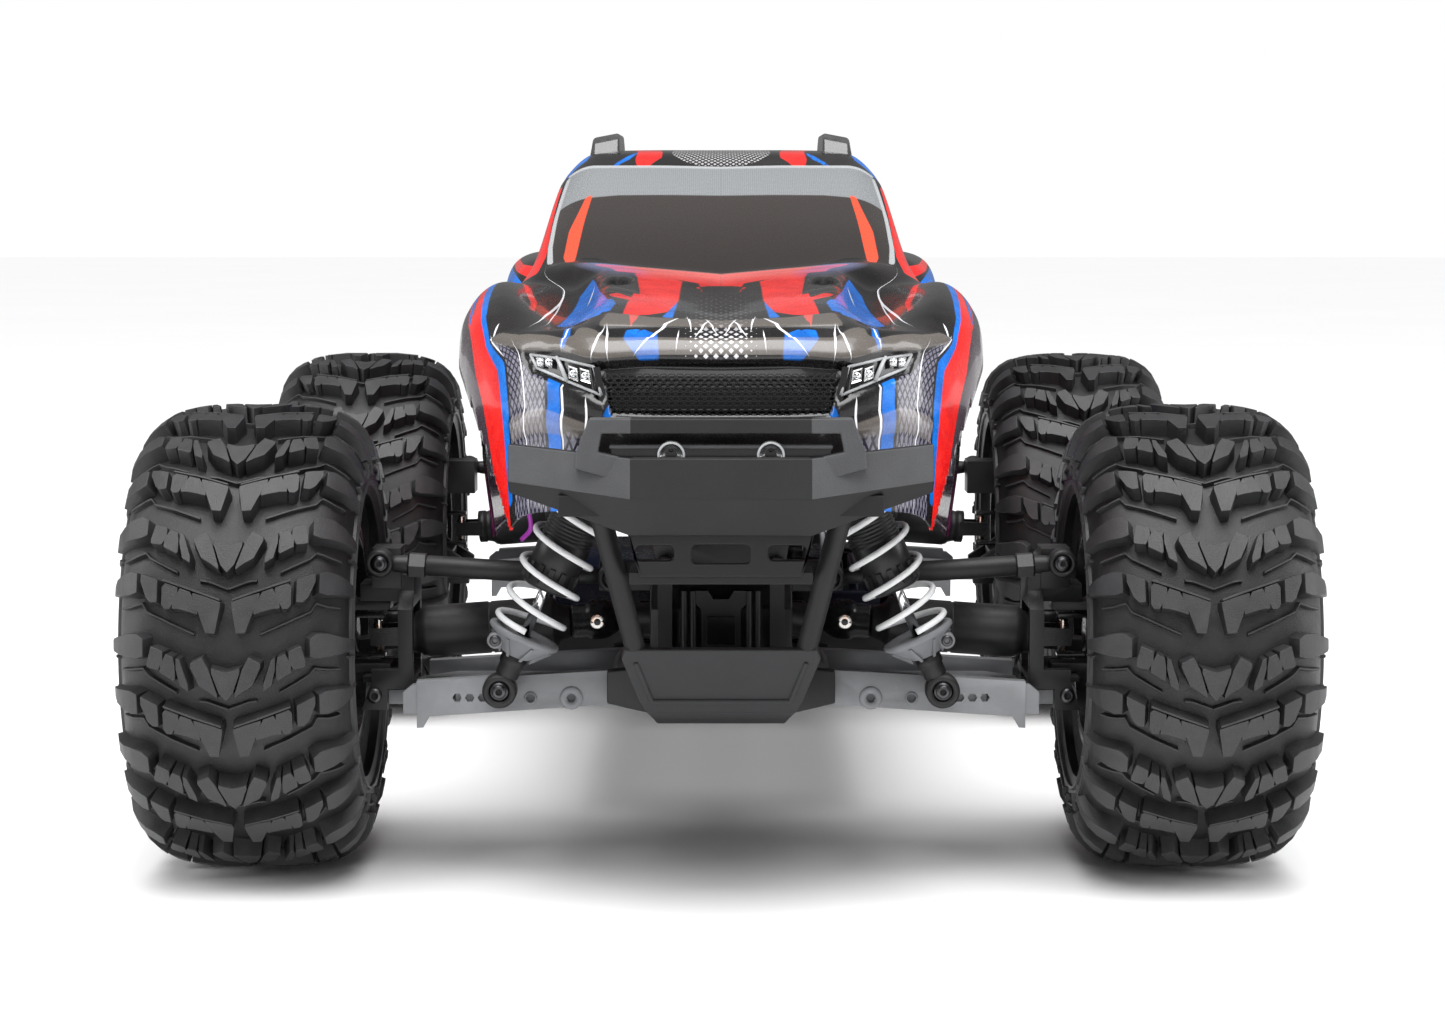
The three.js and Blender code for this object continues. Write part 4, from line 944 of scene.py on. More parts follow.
def body_paint():
    """Layers of paint and tint, each inside its area's edge, under a clear coat."""
    s = Shader("body_paint")
    chart = s.split(s.node("ShaderNodeUVMap", uv_map="chart").outputs["UV"])
    w, t = chart[0], chart[1]
    fade = s.noise(55, 3)
    grime = s.noise(900, 4, 0.7)

    def area(name, soft=0.012):
        distance = s.node("ShaderNodeAttribute", attribute_name=name).outputs["Fac"]
        return s.spread(distance, soft, -soft)

    def cells(across, along, size_w, size_t):
        """Distance from the middle of a diamond cell, 0 to 1."""
        a = s.math("FRACT", s.add(s.times(across, 1 / size_w), s.times(along, 1 / size_t)))
        b = s.math("FRACT", s.add(s.times(across, 1 / size_w), s.times(along, -1 / size_t)))
        far = s.math("MAXIMUM", s.math("ABSOLUTE", s.add(a, -0.5)), s.math("ABSOLUTE", s.add(b, -0.5)))
        return s.times(far, 2.0)

    def stroke(start, end, width):
        """A tapering stroke between two points of the chart, as a share of 1."""
        (x1, y1), (x2, y2) = start, end
        length = math.hypot(x2 - x1, (y2 - y1) * 0.8)
        dx, dy = (x2 - x1) / length, (y2 - y1) * 0.8 / length
        px, py = s.add(w, -x1), s.times(s.add(t, -y1), 0.8)
        along = s.add(s.times(px, dx), s.times(py, dy))
        off = s.math("ABSOLUTE", s.add(s.times(px, dy), s.times(py, -dx)))
        body = s.times(s.spread(along, 0, length * 0.3), s.spread(along, length, length * 0.6))
        return s.spread(s.math("SUBTRACT", s.times(body, width), off), 0.0, 0.006)

    base = s.mix(s.spread(fade, 0.35, 0.65), (0.006, 0.0055, 0.006), (0.016, 0.014, 0.0145))
    tone = s.mix(area("mauve"), base, (0.05, 0.034, 0.046))
    blue = s.mix(s.spread(s.noise(140, 5, 0.7), 0.35, 0.65), (0.0, 0.1, 0.42), (0.0, 0.17, 0.72))
    tone = s.mix(area("blue"), tone, blue)
    red = s.mix(s.spread(s.noise(120, 4, 0.65), 0.3, 0.7), (0.6, 0.004, 0.006), (0.86, 0.02, 0.014))
    tone = s.mix(area("red"), tone, red)
    tone = s.mix(area("magenta", 0.25), tone, (0.16, 0.01, 0.09))

    # A halftone of diamonds on the hood's middle, growing towards the nose,
    # and a net of them beside the lamps.
    nose = s.times(s.spread(t, 5.6, 3.4, 0.15, 0.55), s.spread(w, 0.62, 0.3))
    dots = s.spread(cells(w, t, 0.16, 0.26), s.add(nose, 0.02), s.add(nose, -0.02))
    dots = s.times(
        s.times(dots, s.spread(t, 2.0, 2.04)), s.times(s.spread(w, 0.66, 0.6), s.spread(t, 6.0, 5.6))
    )
    tone = s.mix(dots, tone, s.mix(s.spread(t, 3.4, 2.6), (0.1, 0.095, 0.1), (0.75, 0.74, 0.78)))
    navy = s.mix(s.spread(fade, 0.4, 0.6), (0.004, 0.004, 0.012), (0.014, 0.013, 0.026))
    netted = s.mix(
        s.spread(cells(w, t, 0.15, 0.22), 0.74, 0.66), navy,
        s.mix(s.noise(400, 3), (0.03, 0.028, 0.05), (0.3, 0.29, 0.36))
    )
    tone = s.mix(area("pattern"), tone, netted)

    # Roof oval of fine dots.
    roof = s.spread(
        s.add(s.math("POWER", s.times(w, 1.25), 2.0), s.math("POWER", s.times(s.add(t, -11.0), 0.95), 2.0)),
        1.0, 0.96
    )
    roof_dots = s.spread(cells(w, t, 0.09, 0.17), 0.62, 0.56)
    tone = s.mix(
        s.times(s.times(roof, s.spread(t, 10.02, 10.06)), s.spread(t, 12.4, 12.36)), tone,
        s.mix(roof_dots, (0.012, 0.011, 0.012), (0.42, 0.41, 0.42))
    )

    # The lips are a pale tint over whatever lies under them.
    lip = area("brow")
    tone = s.mix(s.times(lip, 0.34), tone, (0.3, 0.265, 0.235))
    strokes = None
    for start, end, width in STROKES:
        mark = stroke(start, end, width)
        strokes = mark if strokes is None else s.math("MAXIMUM", strokes, mark)
    tone = s.mix(strokes, tone, (0.82, 0.82, 0.85))

    # Glazing: a smoked panel with a finely ribbed visor, pale borders and red stripes.
    smoke = s.mix(s.spread(t, 8.0, 9.6), (0.017, 0.0135, 0.0125), (0.04, 0.034, 0.032))
    tone = s.mix(area("window", 0.008), tone, smoke)
    weave = s.times(
        s.spread(s.math("FRACT", s.times(w, 34.0)), 0.4, 0.6),
        s.spread(s.math("FRACT", s.times(t, 46.0)), 0.4, 0.6)
    )
    tone = s.mix(area("visor", 0.008), tone, s.mix(weave, (0.19, 0.2, 0.21), (0.26, 0.27, 0.28)))
    tone = s.mix(area("stripe", 0.01), tone, (0.72, 0.07, 0.03))
    tone = s.mix(area("pale", 0.012), tone, (0.36, 0.37, 0.38))
    tone = s.mix(area("black", 0.01), tone, (0.006, 0.006, 0.007))
    tone = s.mix(area("vent", 0.012), tone, (0.02, 0.019, 0.019))
    hole = s.add(
        s.math("POWER", s.times(s.add(w, -1.88), 1 / 0.3), 2.0),
        s.math("POWER", s.times(s.add(t, -6.1), 1 / 0.24), 2.0)
    )
    tone = s.mix(s.spread(hole, 1.1, 0.9), tone, (0.003, 0.003, 0.003))
    # The cowl's clear lip lightens the red and blue under it.
    cowl = s.times(s.times(s.spread(t, 6.35, 7.1), s.spread(t, 8.02, 7.98)), s.spread(w, 2.3, 1.9))
    tone = s.mix(s.times(cowl, 0.45), tone, s.mix(s.spread(w, 1.1, 1.5), (0.75, 0.3, 0.28), (0.3, 0.33, 0.6)))
    rough = s.spread(grime, 0.3, 0.75, 0.2, 0.34)
    waves = s.bump(s.noise(38, 2, 0.4), 0.35 * MM)
    return s.set(
        Base_Color=tone, Roughness=rough, Normal=waves, Specular_IOR_Level=0.3, Coat_Weight=0.5,
        Coat_Roughness=0.06
    )


# White strokes: from, to and half-width in net coordinates.
STROKES = [
    ((1.42, 2.04), (0.5, 4.05), 0.028),
    ((0.55, 4.1), (0.46, 2.9), 0.02),
    ((0.16, 3.7), (0.44, 2.6), 0.018),
    ((0.3, 3.9), (0.02, 2.7), 0.014),
    ((2.12, 2.02), (1.98, 3.2), 0.024),
    ((1.96, 3.24), (1.8, 1.98), 0.022),
    ((2.7, 2.1), (2.62, 3.5), 0.018),
    ((2.72, 1.7), (2.64, 0.2), 0.024),
    ((2.28, 1.3), (2.26, 0.7), 0.022),
    ((2.66, 1.5), (2.1, 1.26), 0.02),
    ((3.78, 2.7), (3.7, -0.4), 0.022),
    ((4.16, 3.5), (4.42, 2.9), 0.03),
    ((4.46, 3.2), (4.2, 2.2), 0.026),
    ((3.5, 3.2), (2.9, 8.3), 0.02),
    ((3.3, 3.4), (3.06, 7.4), 0.012),
    ((2.6, 5.3), (2.4, 6.5), 0.018),
    ((0.66, 3.1), (0.72, 2.1), 0.014),
    ((2.66, 9.2), (2.7, 8.3), 0.022),
    ((6.6, 8.6), (7.6, 9.9), 0.05),
    ((6.1, 12.4), (7.2, 10.4), 0.05),
    ((1.2, 18.6), (2.6, 20.4), 0.03),
]
paint = body_paint()


def body_shell():
    along, down = steps_of(ALONG_STEPS), steps_of(DOWN_STEPS)
    half = shell_grid(along, down)
    t, w = np.meshgrid(along, down, indexing="ij")
    normal = np.cross(np.gradient(half, axis=1), np.gradient(half, axis=0))
    normal /= np.maximum(np.linalg.norm(normal, axis=2, keepdims=True), 1e-9)
    distance = {name: area_distance(name, w, t) for name in AREAS}
    rise = np.zeros(w.shape)
    rise += 0.9 * np.clip(0.5 - distance["brow"] / 0.1, 0, 1)
    rise += 0.5 * np.clip(0.5 - distance["vent"] / 0.12, 0, 1)
    rise -= 0.5 * np.clip(0.5 - distance["window"] / 0.1, 0, 1)
    hole = np.hypot((w - 1.88) / 0.32, (t - 6.1) / 0.26)
    rise -= 2.6 * np.clip((1.0 - hole) / 0.25, 0, 1)
    rise -= 3.2 * np.clip(0.5 - (distance["black"]) / 0.08, 0, 1) * (t < 2.5) * (w < 2.08)
    rise -= 1.6 * np.clip(0.5 - (distance["black"]) / 0.08, 0, 1) * (t < 2.5) * (w >= 2.08)
    half = half + normal * rise[:, :, None]
    half[:, 0, 0] = 0
    # Vertices near an arch's edge are pulled onto it, so that the cut is smooth.
    cut = np.full(w.shape, 99.0)
    for fore in (-1, 1):
        dy, dz = half[:, :, 1] - fore * AXLE_Y, half[:, :, 2] - ARCH_Z
        r = np.hypot(dy, dz)
        near = (np.abs(r - ARCH_R) < 1.1) & (half[:, :, 0] > 45)
        scale = np.where(near, ARCH_R / np.maximum(r, 1), 1.0)
        half[:, :, 1] = fore * AXLE_Y + dy * scale
        half[:, :, 2] = ARCH_Z + dz * scale
        cut = np.minimum(cut, np.where(near, 0, r - ARCH_R))
    full = np.concatenate([half[:, :0:-1] * (-1, 1, 1), half], axis=1)
    both = lambda grid: np.concatenate([grid[:, :0:-1], grid], axis=1)
    rows, cols = full.shape[:2]
    cut_full, w_full, t_full = both(cut), both(w), both(t)
    faces = []
    for i in range(rows - 1):
        for j in range(cols - 1):
            corner = [(i, j), (i, j + 1), (i + 1, j + 1), (i + 1, j)]
            if min(cut_full[c] for c in corner) < -1e-6 or max(cut_full[c] for c in corner) <= 1e-6:
                continue
            faces.append([a * cols + b for a, b in corner])
    mesh = bpy.data.meshes.new("body_shell_skin")
    mesh.from_pydata((full.reshape(-1, 3) * MM).tolist(), [], faces)
    for name in AREAS:
        field = mesh.attributes.new(name, "FLOAT", "POINT")
        field.data.foreach_set("value", both(distance[name]).reshape(-1).astype(np.float32))
    chart = mesh.uv_layers.new(name="chart")
    index = np.empty(len(mesh.loops), int)
    mesh.loops.foreach_get("vertex_index", index)
    uv = np.stack([w_full.reshape(-1)[index], t_full.reshape(-1)[index]], axis=1)
    chart.data.foreach_set("uv", uv.reshape(-1).astype(np.float32))
    work = bmesh.new()
    work.from_mesh(mesh)
    bmesh.ops.delete(work, geom=[v for v in work.verts if not v.link_faces], context="VERTS")
    bmesh.ops.recalc_face_normals(work, faces=work.faces)
    top = max(work.faces, key=lambda f: f.calc_center_median().z)
    if top.normal.z < 0:
        bmesh.ops.reverse_faces(work, faces=work.faces)
    work.to_mesh(mesh)
    work.free()
    mesh.shade_smooth()
    mesh.materials.append(paint)
    made = bpy.data.objects.new("body_shell_skin", mesh)
    bpy.context.scene.collection.objects.link(made)
    wall = made.modifiers.new("wall", "SOLIDIFY")
    wall.thickness = 1.0 * MM
    wall.offset = -1.0
    return made


shell = body_shell()
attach(shell, "body_shell")
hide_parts("body_shell")


def roof_rail(side):
    build = Build()
    section = lambda y, z: [(36.5, y, z), (46, y, z - 1.8), (47.6, y, 221.5), (36, y, 223.5)]
    rings = [
        section(-13.5, 226.5), section(-9, 231.6), section(-4, 233.3), section(20, 233.3),
        section(44, 233.3), section(51, 231), section(55, 227)
    ]
    verts = [(side * x, y, z) for ring in rings for x, y, z in ring]
    faces = [
        (4 * i + k, 4 * i + (k + 1) % 4, 4 * i + 4 + (k + 1) % 4, 4 * i + 4 + k)
        for i in range(len(rings) - 1) for k in range(4)
    ]
    faces += [(3, 2, 1, 0), tuple(4 * len(rings) - 4 + k for k in range(4))]
    build.add(verts, faces, rail_paint)
    made = build.make(f"roof_rail_{'left' if side > 0 else 'right'}", 1.1, 3, 20)
    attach(made, "body_shell")


rail_paint = moulded(
    "rail_paint", (0.03, 0.029, 0.03), rough=0.25, grain=0.008, wear=0.03, dust=0.2, coat=0.6
)
roof_rail(1)
roof_rail(-1)


def chart_ribbon(build, outline, lift, width, material, side):
    """A moulded frame along a closed outline of net coordinates."""
    path = [Vector(shell_point(u, v, lift, side)) for u, v in outline]
    path.append(path[0])
    for a, b in zip(path, path[1:]):
        build.add(*sweep_shape([a, a.lerp(b, 0.5), b], width, 8), material, True)


lamp_silver = metal("lamp_silver", (0.82, 0.83, 0.84), 0.2)
lamp_white = moulded("lamp_white", (0.4, 0.41, 0.42), rough=0.3, grain=0.01, wear=0.05)
lamp_black = moulded("lamp_black", (0.01, 0.01, 0.012), rough=0.2, grain=0.01)


def headlight(side):
    """Two lamp cells in a bright frame, set into the dark recess beside the grille."""
    build = Build()
    frame_line = [
        (3.5, 2.1), (3.34, 1.72), (2.72, 1.52), (2.0, 1.33), (2.04, 1.62), (2.08, 1.92), (2.72, 1.98)
    ]
    chart_ribbon(build, frame_line, -0.9, 0.46, lamp_white, side)
    divider = [Vector(shell_point(u, v, -0.8, side)) for u, v in ((2.84, 2.02), (2.74, 1.78), (2.62, 1.5))]
    build.add(*sweep_shape(divider, 0.6, 8), lamp_white, True)
    for u1, u2, v_low, v_high in ((2.92, 3.34, 1.68, 1.98), (2.16, 2.6, 1.5, 1.84)):
        for k in range(2):
            low, high = u1 + (u2 - u1) * (k * 0.52), u1 + (u2 - u1) * (k * 0.52 + 0.42)
            outline = [(low, v_low + 0.03), (high, v_low + 0.06), (high, v_high), (low, v_high - 0.03)]
            outer = [Vector(shell_point(u, v, -0.4, side)) for u, v in outline]
            middle = sum(outer, Vector()) / 4
            back = Vector((0, 1.6, 0))
            verts = [
                *outer, *[middle.lerp(p, 0.72) + back * 0.2 for p in outer],
                *[middle.lerp(p, 0.35) + back for p in outer]
            ]
            faces = [
                (a + i, a + (i + 1) % 4, a + 4 + (i + 1) % 4, a + 4 + i) for a in (0, 4) for i in range(4)
            ] + [(8, 9, 10, 11)]
            build.add(verts, faces, lamp_silver)
            build.add(
                *lathe_shape(
                    [(0, -0.2), (0.9, 0.1), (1.1, 0.7), (0.9, 1.1), (0, 1.5)], middle + back * 0.9,
                    middle - Vector((0, 1, 0)), 16
                ),
                lamp_silver, True
            )
    made = build.make(f"headlight_{'left' if side > 0 else 'right'}")
    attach(made, "body_shell")
    return made


headlight(1)
headlight(-1)

grille_black = moulded("grille_black", (0.012, 0.012, 0.013), rough=0.28, grain=0.012, wear=0.05)


def grille():
    """A sheet of flat hexagonal holes in the nose, with a deep frame."""
    build = Build()
    wide, tall, bar, deep = 2.35, 1.42, 0.3, 0.9
    face = lambda x: float(np.interp(abs(x), [0, 18, 36], [-242.2, -241.7, -240.2])) + 1.4
    edge = lambda z: float(np.interp(z, [148.6, 160.5], [32.6, 34.6]))
    rows = 9
    for row in range(rows):
        z = 149.3 + row * 1.31
        count = int(edge(z) * 2 / wide)
        shift = 0.5 if row % 2 else 0.0
        for k in range(-count // 2 - 1, count // 2 + 2):
            x = (k + shift) * wide
            if abs(x) + wide * 0.5 > edge(z):
                continue
            hexagon = [(-0.5, 0), (-0.27, -0.5), (0.27, -0.5), (0.5, 0), (0.27, 0.5), (-0.27, 0.5)]
            outer = [(x + a * wide * 1.04, z + b * tall * 0.98) for a, b in hexagon]
            inner = [(x + a * (wide - bar * 1.7), z + b * (tall - bar * 1.5)) for a, b in hexagon]
            y = face(x)
            build.add(*ring_prism_shape(outer, inner, y, y + deep, across), grille_black)
    z_low, z_high = 148.3, 162.3
    for side in (-1, 1):
        y = face(33) - 0.5
        post = [(side * 32.3, z_low), (side * 34.0, z_low), (side * 36.6, z_high), (side * 34.6, z_high)]
        build.add(*prism_shape(post, y, y + 1.6, across), gloss_black)
    return build.make("grille_mesh")


grille_piece = grille()
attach(grille_piece, "body_shell")


# ---- Suspension and steering ----
def corner_frame(fore, side):
    """Points of one corner: x outwards, y towards the truck's middle, z up."""
    return lambda x, y, z: (side * x, fore * (y - AXLE_Y), z)


def on_shock(place):
    """Points along a shock's axis, by distance from its foot."""
    def at(distance, y=SHOCK_Y):
        share = distance / SHOCK_LENGTH
        x, z = (SHOCK_FOOT[k] + (SHOCK_TOP[k] - SHOCK_FOOT[k]) * share for k in (0, 1))
        return Vector(place(x, y, z))
    return at


def mount(build, name, body, nodes=(), bevel=0.0, angle=35):
    made = build.make(name, bevel, 2, angle)
    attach(made, body)
    if nodes:
        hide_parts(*nodes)
    return made


def shock_body(place, name):
    build, at = Build(), on_shock(place)
    axis = (at(0), at(1))
    threads = [(8.0, 42.5)]
    for k in range(19):
        s = 50.5 + k * 1.15
        threads += [(7.55, s), (8.05, s + 0.4), (8.05, s + 0.65), (7.55, s + 1.05)]
    profile = [(1.9, 34.4), (6.9, 34.4), (7.9, 35.2), (7.9, 42.2)] + threads[:1] + [(8.0, 50)] + threads[1:]
    profile += [
        (8, 74.8), (8, 79), (9.2, 79.8), (9.4, 80.6), (9.4, 85.4), (8.8, 86.4), (5.4, 89.2), (3.6, 90.5),
        (3.4, 94)
    ]
    build.add(*lathe_shape(profile + [(0, 94)], *axis, 40), shock_black, True)
    # The lower cap's grips, and the ribbed adjusting collar.
    for k in range(14):
        a = 2 * math.pi * k / 14
        turn = frame_of(*axis)
        grip = [
            turn @ Vector((r * math.cos(a + da), r * math.sin(a + da), s)) for s in (36.0, 41.6)
            for r, da in ((7.6, -0.13), (8.6, -0.1), (8.6, 0.1), (7.6, 0.13))
        ]
        build.add(
            grip, [(3, 2, 1, 0), (4, 5, 6, 7), (0, 1, 5, 4), (1, 2, 6, 5), (2, 3, 7, 6), (3, 0, 4, 7)],
            shock_black
        )
    for k in range(18):
        a = 2 * math.pi * k / 18
        turn = frame_of(*axis)
        tooth = [
            turn @ Vector((r * math.cos(a + da), r * math.sin(a + da), s)) for s in (71.6, 74.4)
            for r, da in ((9.0, -0.1), (11.3, -0.09), (11.3, 0.09), (9.0, 0.1))
        ]
        build.add(
            tooth, [(3, 2, 1, 0), (4, 5, 6, 7), (0, 1, 5, 4), (1, 2, 6, 5), (2, 3, 7, 6), (3, 0, 4, 7)],
            shock_black
        )
    build.add(
        *lathe_shape(
            [(7.8, 71.2), (11.2, 71.2), (11.2, 71.8), (10.4, 72.2), (10.4, 74.2), (7.8, 74.6)], *axis, 36
        ),
        shock_black, True
    )
    front, back = at(SHOCK_LENGTH, SHOCK_Y - 3.5), at(SHOCK_LENGTH, SHOCK_Y + 3.5)
    build.add(
        *lathe_shape([(1.7, 0.2), (4.6, 0), (5.2, 0.6), (5.2, 6.4), (4.6, 7), (1.7, 6.8)], front, back, 28),
        shock_black, True
    )
    screw_shapes(build, front, front - back, 2.9, steel, socket_painted_shade)
    mount(build, f"shock_body_{name}", f"shock_{name}", [f"shock_body_{name}"])


def shock_shaft(place, name):
    build, at = Build(), on_shock(place)
    axis = (at(0), at(1))
    retainer = [
        (3.5, 11.6), (4.6, 12.0), (5.6, 13.0), (8.9, 16.0), (10.6, 17.4), (11.3, 18.0), (11.3, 18.9),
        (10.9, 19.4), (8.6, 19.4), (8.4, 18.6), (2.4, 18.6)
    ]
    build.add(*lathe_shape(retainer, *axis, 44), retainer_grey, True)
    # Ribs under the retainer's dish, and the pocket that takes the spring's end.
    turn = frame_of(*axis)
    for k in range(8):
        a = 2 * math.pi * (k + 0.5) / 8
        c, s = math.cos(a), math.sin(a)
        wide = Vector((-s, c, 0)) * 0.45
        fin = [(4.9, 11.6), (10.2, 17.2), (8.0, 17.4), (4.9, 14.5)]
        points = [
            turn @ (Vector((r * c, r * s, d)) + wide * h) for h in (-1, 1)
            for r, d in [(r + 0.5, d - 0.3) for r, d in fin]
        ]
        build.add(points, BLOCK_FACES, retainer_grey)
    build.add(*lathe_shape([(0, 18), (1.6, 18), (1.6, 53), (0, 53)], *axis, 24), chrome, True)
    # The side screw that pinches the retainer.
    outward = (at(0, SHOCK_Y - 1) - at(0)).normalized()
    sideways = (at(1) - at(0)).cross(outward).normalized()
    if sideways.x * at(0).x < 0:
        sideways.negate()
    lug = at(14.4) + sideways * 7.4 + outward * 4.0
    build.add(
        *lathe_shape([(0, -2.6), (2.5, -2.6), (2.5, 2.0), (2.1, 2.4), (0, 2.4)], lug, lug + outward, 20),
        retainer_grey, True
    )
    screw_shapes(build, lug + outward * 2.2, outward, 1.8, dark_steel, socket_painted_shade, 0.8)
    # The rod end: a black eye on a stem, with its steel ball and screw.
    stem = [(2.2, 3.5), (3.6, 5.2), (3.6, 8.6), (4.1, 9.0), (4.1, 11.7), (3.0, 12)]
    build.add(*lathe_shape([(0, 3.5)] + stem + [(0, 12)], *axis, 24), black_plastic, True)
    front, back = at(0, SHOCK_Y - 3.4), at(0, SHOCK_Y + 3.6)
    build.add(
        *lathe_shape(
            [(3.1, 0.5), (3.5, 0.0), (4.6, 0.0), (5.25, 0.8), (5.3, 6.2), (4.6, 7), (3.1, 7)], front, back,
            36
        ),
        black_plastic, True
    )
    build.add(
        *lathe_shape([(0, 0.1), (2.6, 0.2), (3.2, 1.2), (3.2, 6), (0, 6.5)], front, back, 28), dark_steel,
        True
    )
    screw_shapes(build, front, front - back, 2.2, dark_steel, socket_painted_shade, 0.9)
    mount(build, f"shock_shaft_{name}", f"rod_{name}", [f"shock_shaft_{name}"])


def shock_spring(place, name, side):
    at = on_shock(place)
    low, high, wire, radius, turns = 20.2, 70.4, 1.0, 10.1, 5.5
    turn = frame_of(at(0), at(1))
    path = []
    steps = 26
    for i in range(int(turns * steps) + 1):
        f = i / (turns * steps)
        # The end coils lie flat, as ground ends do.
        climb = float(np.interp(f, [0, 0.09, 0.9, 1], [0, 0.035, 0.965, 1]))
        a = side * 2 * math.pi * turns * f + (math.pi if side < 0 else 0)
        path.append(
            turn @ Vector(
                (radius * math.cos(a), radius * math.sin(a), low + wire + climb * (high - low - 2 * wire))
            )
        )
    build = Build()
    build.add(*sweep_shape(path, wire, 12), spring_coat, True)
    made = build.make(f"shock_spring_{name}")
    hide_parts(f"shock_spring_{name}")
    start, end = at(low), at(high)
    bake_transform(made)


def ball_end(build, at, radius, half, screw=True):
    """A rod end seen along y: a rounded eye with its ball."""
    at = Vector(at)
    front, back = at - Vector((0, half, 0)), at + Vector((0, half, 0))
    build.add(
        *lathe_shape(
            [
                (radius * 0.62, 0.5), (radius * 0.68, 0), (radius * 0.86, 0), (radius, 0.8),
                (radius, 2 * half - 0.8), (radius * 0.86, 2 * half), (radius * 0.62, 2 * half)
            ],
            front, back, 28
        ),
        black_plastic, True
    )
    build.add(
        *lathe_shape(
            [
                (0, 0.2), (radius * 0.5, 0.3), (radius * 0.66, 1.1), (radius * 0.66, 2 * half - 1.1),
                (radius * 0.5, 2 * half - 0.3), (0, 2 * half - 0.2)
            ],
            front, back, 24
        ),
        dark_steel, True
    )
    if screw:
        screw_shapes(build, front, (0, -1, 0), radius * 0.46, dark_steel, socket_painted_shade, 0.7)


def camber_link(place, name):
    build = Build()
    start, end = Vector(place(LINK_IN[0], LINK_Y, LINK_IN[1])), Vector(
        place(LINK_OUT[0], LINK_Y, LINK_OUT[1])
    )
    length = (end - start).length
    tube = [
        (0, 3), (2.3, 3), (2.6, 9), (3.0, 11), (3.25, 11.6), (3.25, length * 0.79), (2.9, length * 0.8),
        (2.9, length * 0.885), (2.6, length - 5), (2.3, length - 3), (0, length - 3)
    ]
    build.add(*lathe_shape(tube, start, end, 28), black_plastic, True)
    build.add(
        *lathe_shape(
            [(3.6, length * 0.8), (4.1, length * 0.805), (4.1, length * 0.872), (3.6, length * 0.88)],
            start, end, 6
        ),
        gloss_black
    )
    build.add(*lathe_shape([(2.4, 10.6), (3.9, 10.7), (3.9, 13.4), (3.2, 13.6)], start, end, 6), gloss_black)
    for at in (start, end):
        ball_end(build, at, 4.4, 3.5)
    mount(build, f"camber_link_{name}", f"link_{name}", [f"camber_link_{name}"])


def toe_link(place, name):
    build = Build()
    start, end = Vector(place(TOE_IN[0], TOE_Y, TOE_IN[1])), Vector(place(TOE_OUT[0], TOE_Y, TOE_OUT[1]))
    length = (end - start).length
    build.add(
        *lathe_shape(
            [(0, 2), (2, 3), (2.5, 12), (2.5, length - 12), (2, length - 3), (0, length - 2)], start, end,
            24
        ),
        black_plastic, True
    )
    build.add(
        *lathe_shape(
            [(2.4, length * 0.7), (3.6, length * 0.7), (3.6, length * 0.78), (2.4, length * 0.78)], start,
            end, 6
        ),
        gloss_black
    )
    for at in (start, end):
        low, high = at - Vector((0, 0, 3)), at + Vector((0, 0, 2.6))
        build.add(
            *lathe_shape([(2.4, 0), (3.4, 0), (4, 0.7), (4, 4.9), (3.4, 5.6), (2.4, 5.6)], low, high, 28),
            black_plastic, True
        )
        build.add(*lathe_shape([(0, 0.3), (2.5, 0.6), (2.5, 5.2), (0, 5.5)], low, high, 20), dark_steel, True)
    mount(build, f"toe_link_{name}", f"toe_{name}", [f"toe_link_{name}"])


def drive_joint(place, name):
    build = Build()
    start, end = Vector(place(DRIVE_IN[0], 0, DRIVE_IN[1])), Vector(place(DRIVE_OUT[0], 0, DRIVE_OUT[1]))
    build.add(
        *lathe_shape(
            [
                (0, -6.4), (3.2, -6.1), (4.4, -5), (6.0, -2.2), (6.4, -1.2), (6.4, 2.6), (5.9, 3.8),
                (5.4, 4.6), (5.4, 8.4), (5, 9), (0, 9)
            ],
            start, end, 36
        ),
        gloss_black, True
    )
    screw_shapes(
        build, start + Vector((0, -6.2, 0)) + (end - start).normalized() * 0.8, (0, -1, 0), 2.3, steel,
        socket_painted_shade, 0.2
    )
    mount(build, f"drive_joint_{name}", f"joint_{name}", [f"drive_joint_{name}"])


def half_shaft(place, name):
    build = Build()
    start, end = Vector(place(DRIVE_IN[0], 0, DRIVE_IN[1])), Vector(place(DRIVE_OUT[0], 0, DRIVE_OUT[1]))
    length = (end - start).length
    profile = [
        (0, 9.4), (4.8, 9.4), (5, 10), (6, 13), (7.9, 14.4), (8.2, 15.2), (8.2, 34), (7.9, 34.3),
        (7.9, 34.9), (8.2, 35.2), (8.2, 54.4), (7.6, 56.2), (6.8, 57)
    ]
    profile += [
        (6.2, length - 10.6), (6.6, length - 10.4), (6.6, length - 7.6), (6.1, length - 7.3),
        (3, length - 7.3), (0, length - 7.3)
    ]
    build.add(*lathe_shape(profile, start, end, 40), black_plastic, True)
    x, z = DRIVE_OUT
    for hand in (-1, 1):
        low, high = sorted((hand * 5.2, hand * 6.6))
        ear = [
            place(x - 9, low, z - 2.6), place(x + 2, low, z - 2.6), place(x + 2.4, low, z + 2.8),
            place(x - 9, low, z + 3.2)
        ]
        far = [
            place(x - 9, high, z - 2.6), place(x + 2, high, z - 2.6), place(x + 2.4, high, z + 2.8),
            place(x - 9, high, z + 3.2)
        ]
        build.add(ear + far, BLOCK_FACES, gloss_black)
    build.add(*rod_shape(place(x, -6, z), place(x, 6, z), 1.5, 20, chamfer=0.2), steel, True)
    build.add(*rod_shape(place(x, 0, z - 5.1), place(x, 0, z + 5.1), 1.5, 20, chamfer=0.2), steel, True)
    mount(build, f"half_shaft_{name}", f"shaft_{name}", [f"half_shaft_{name}"])


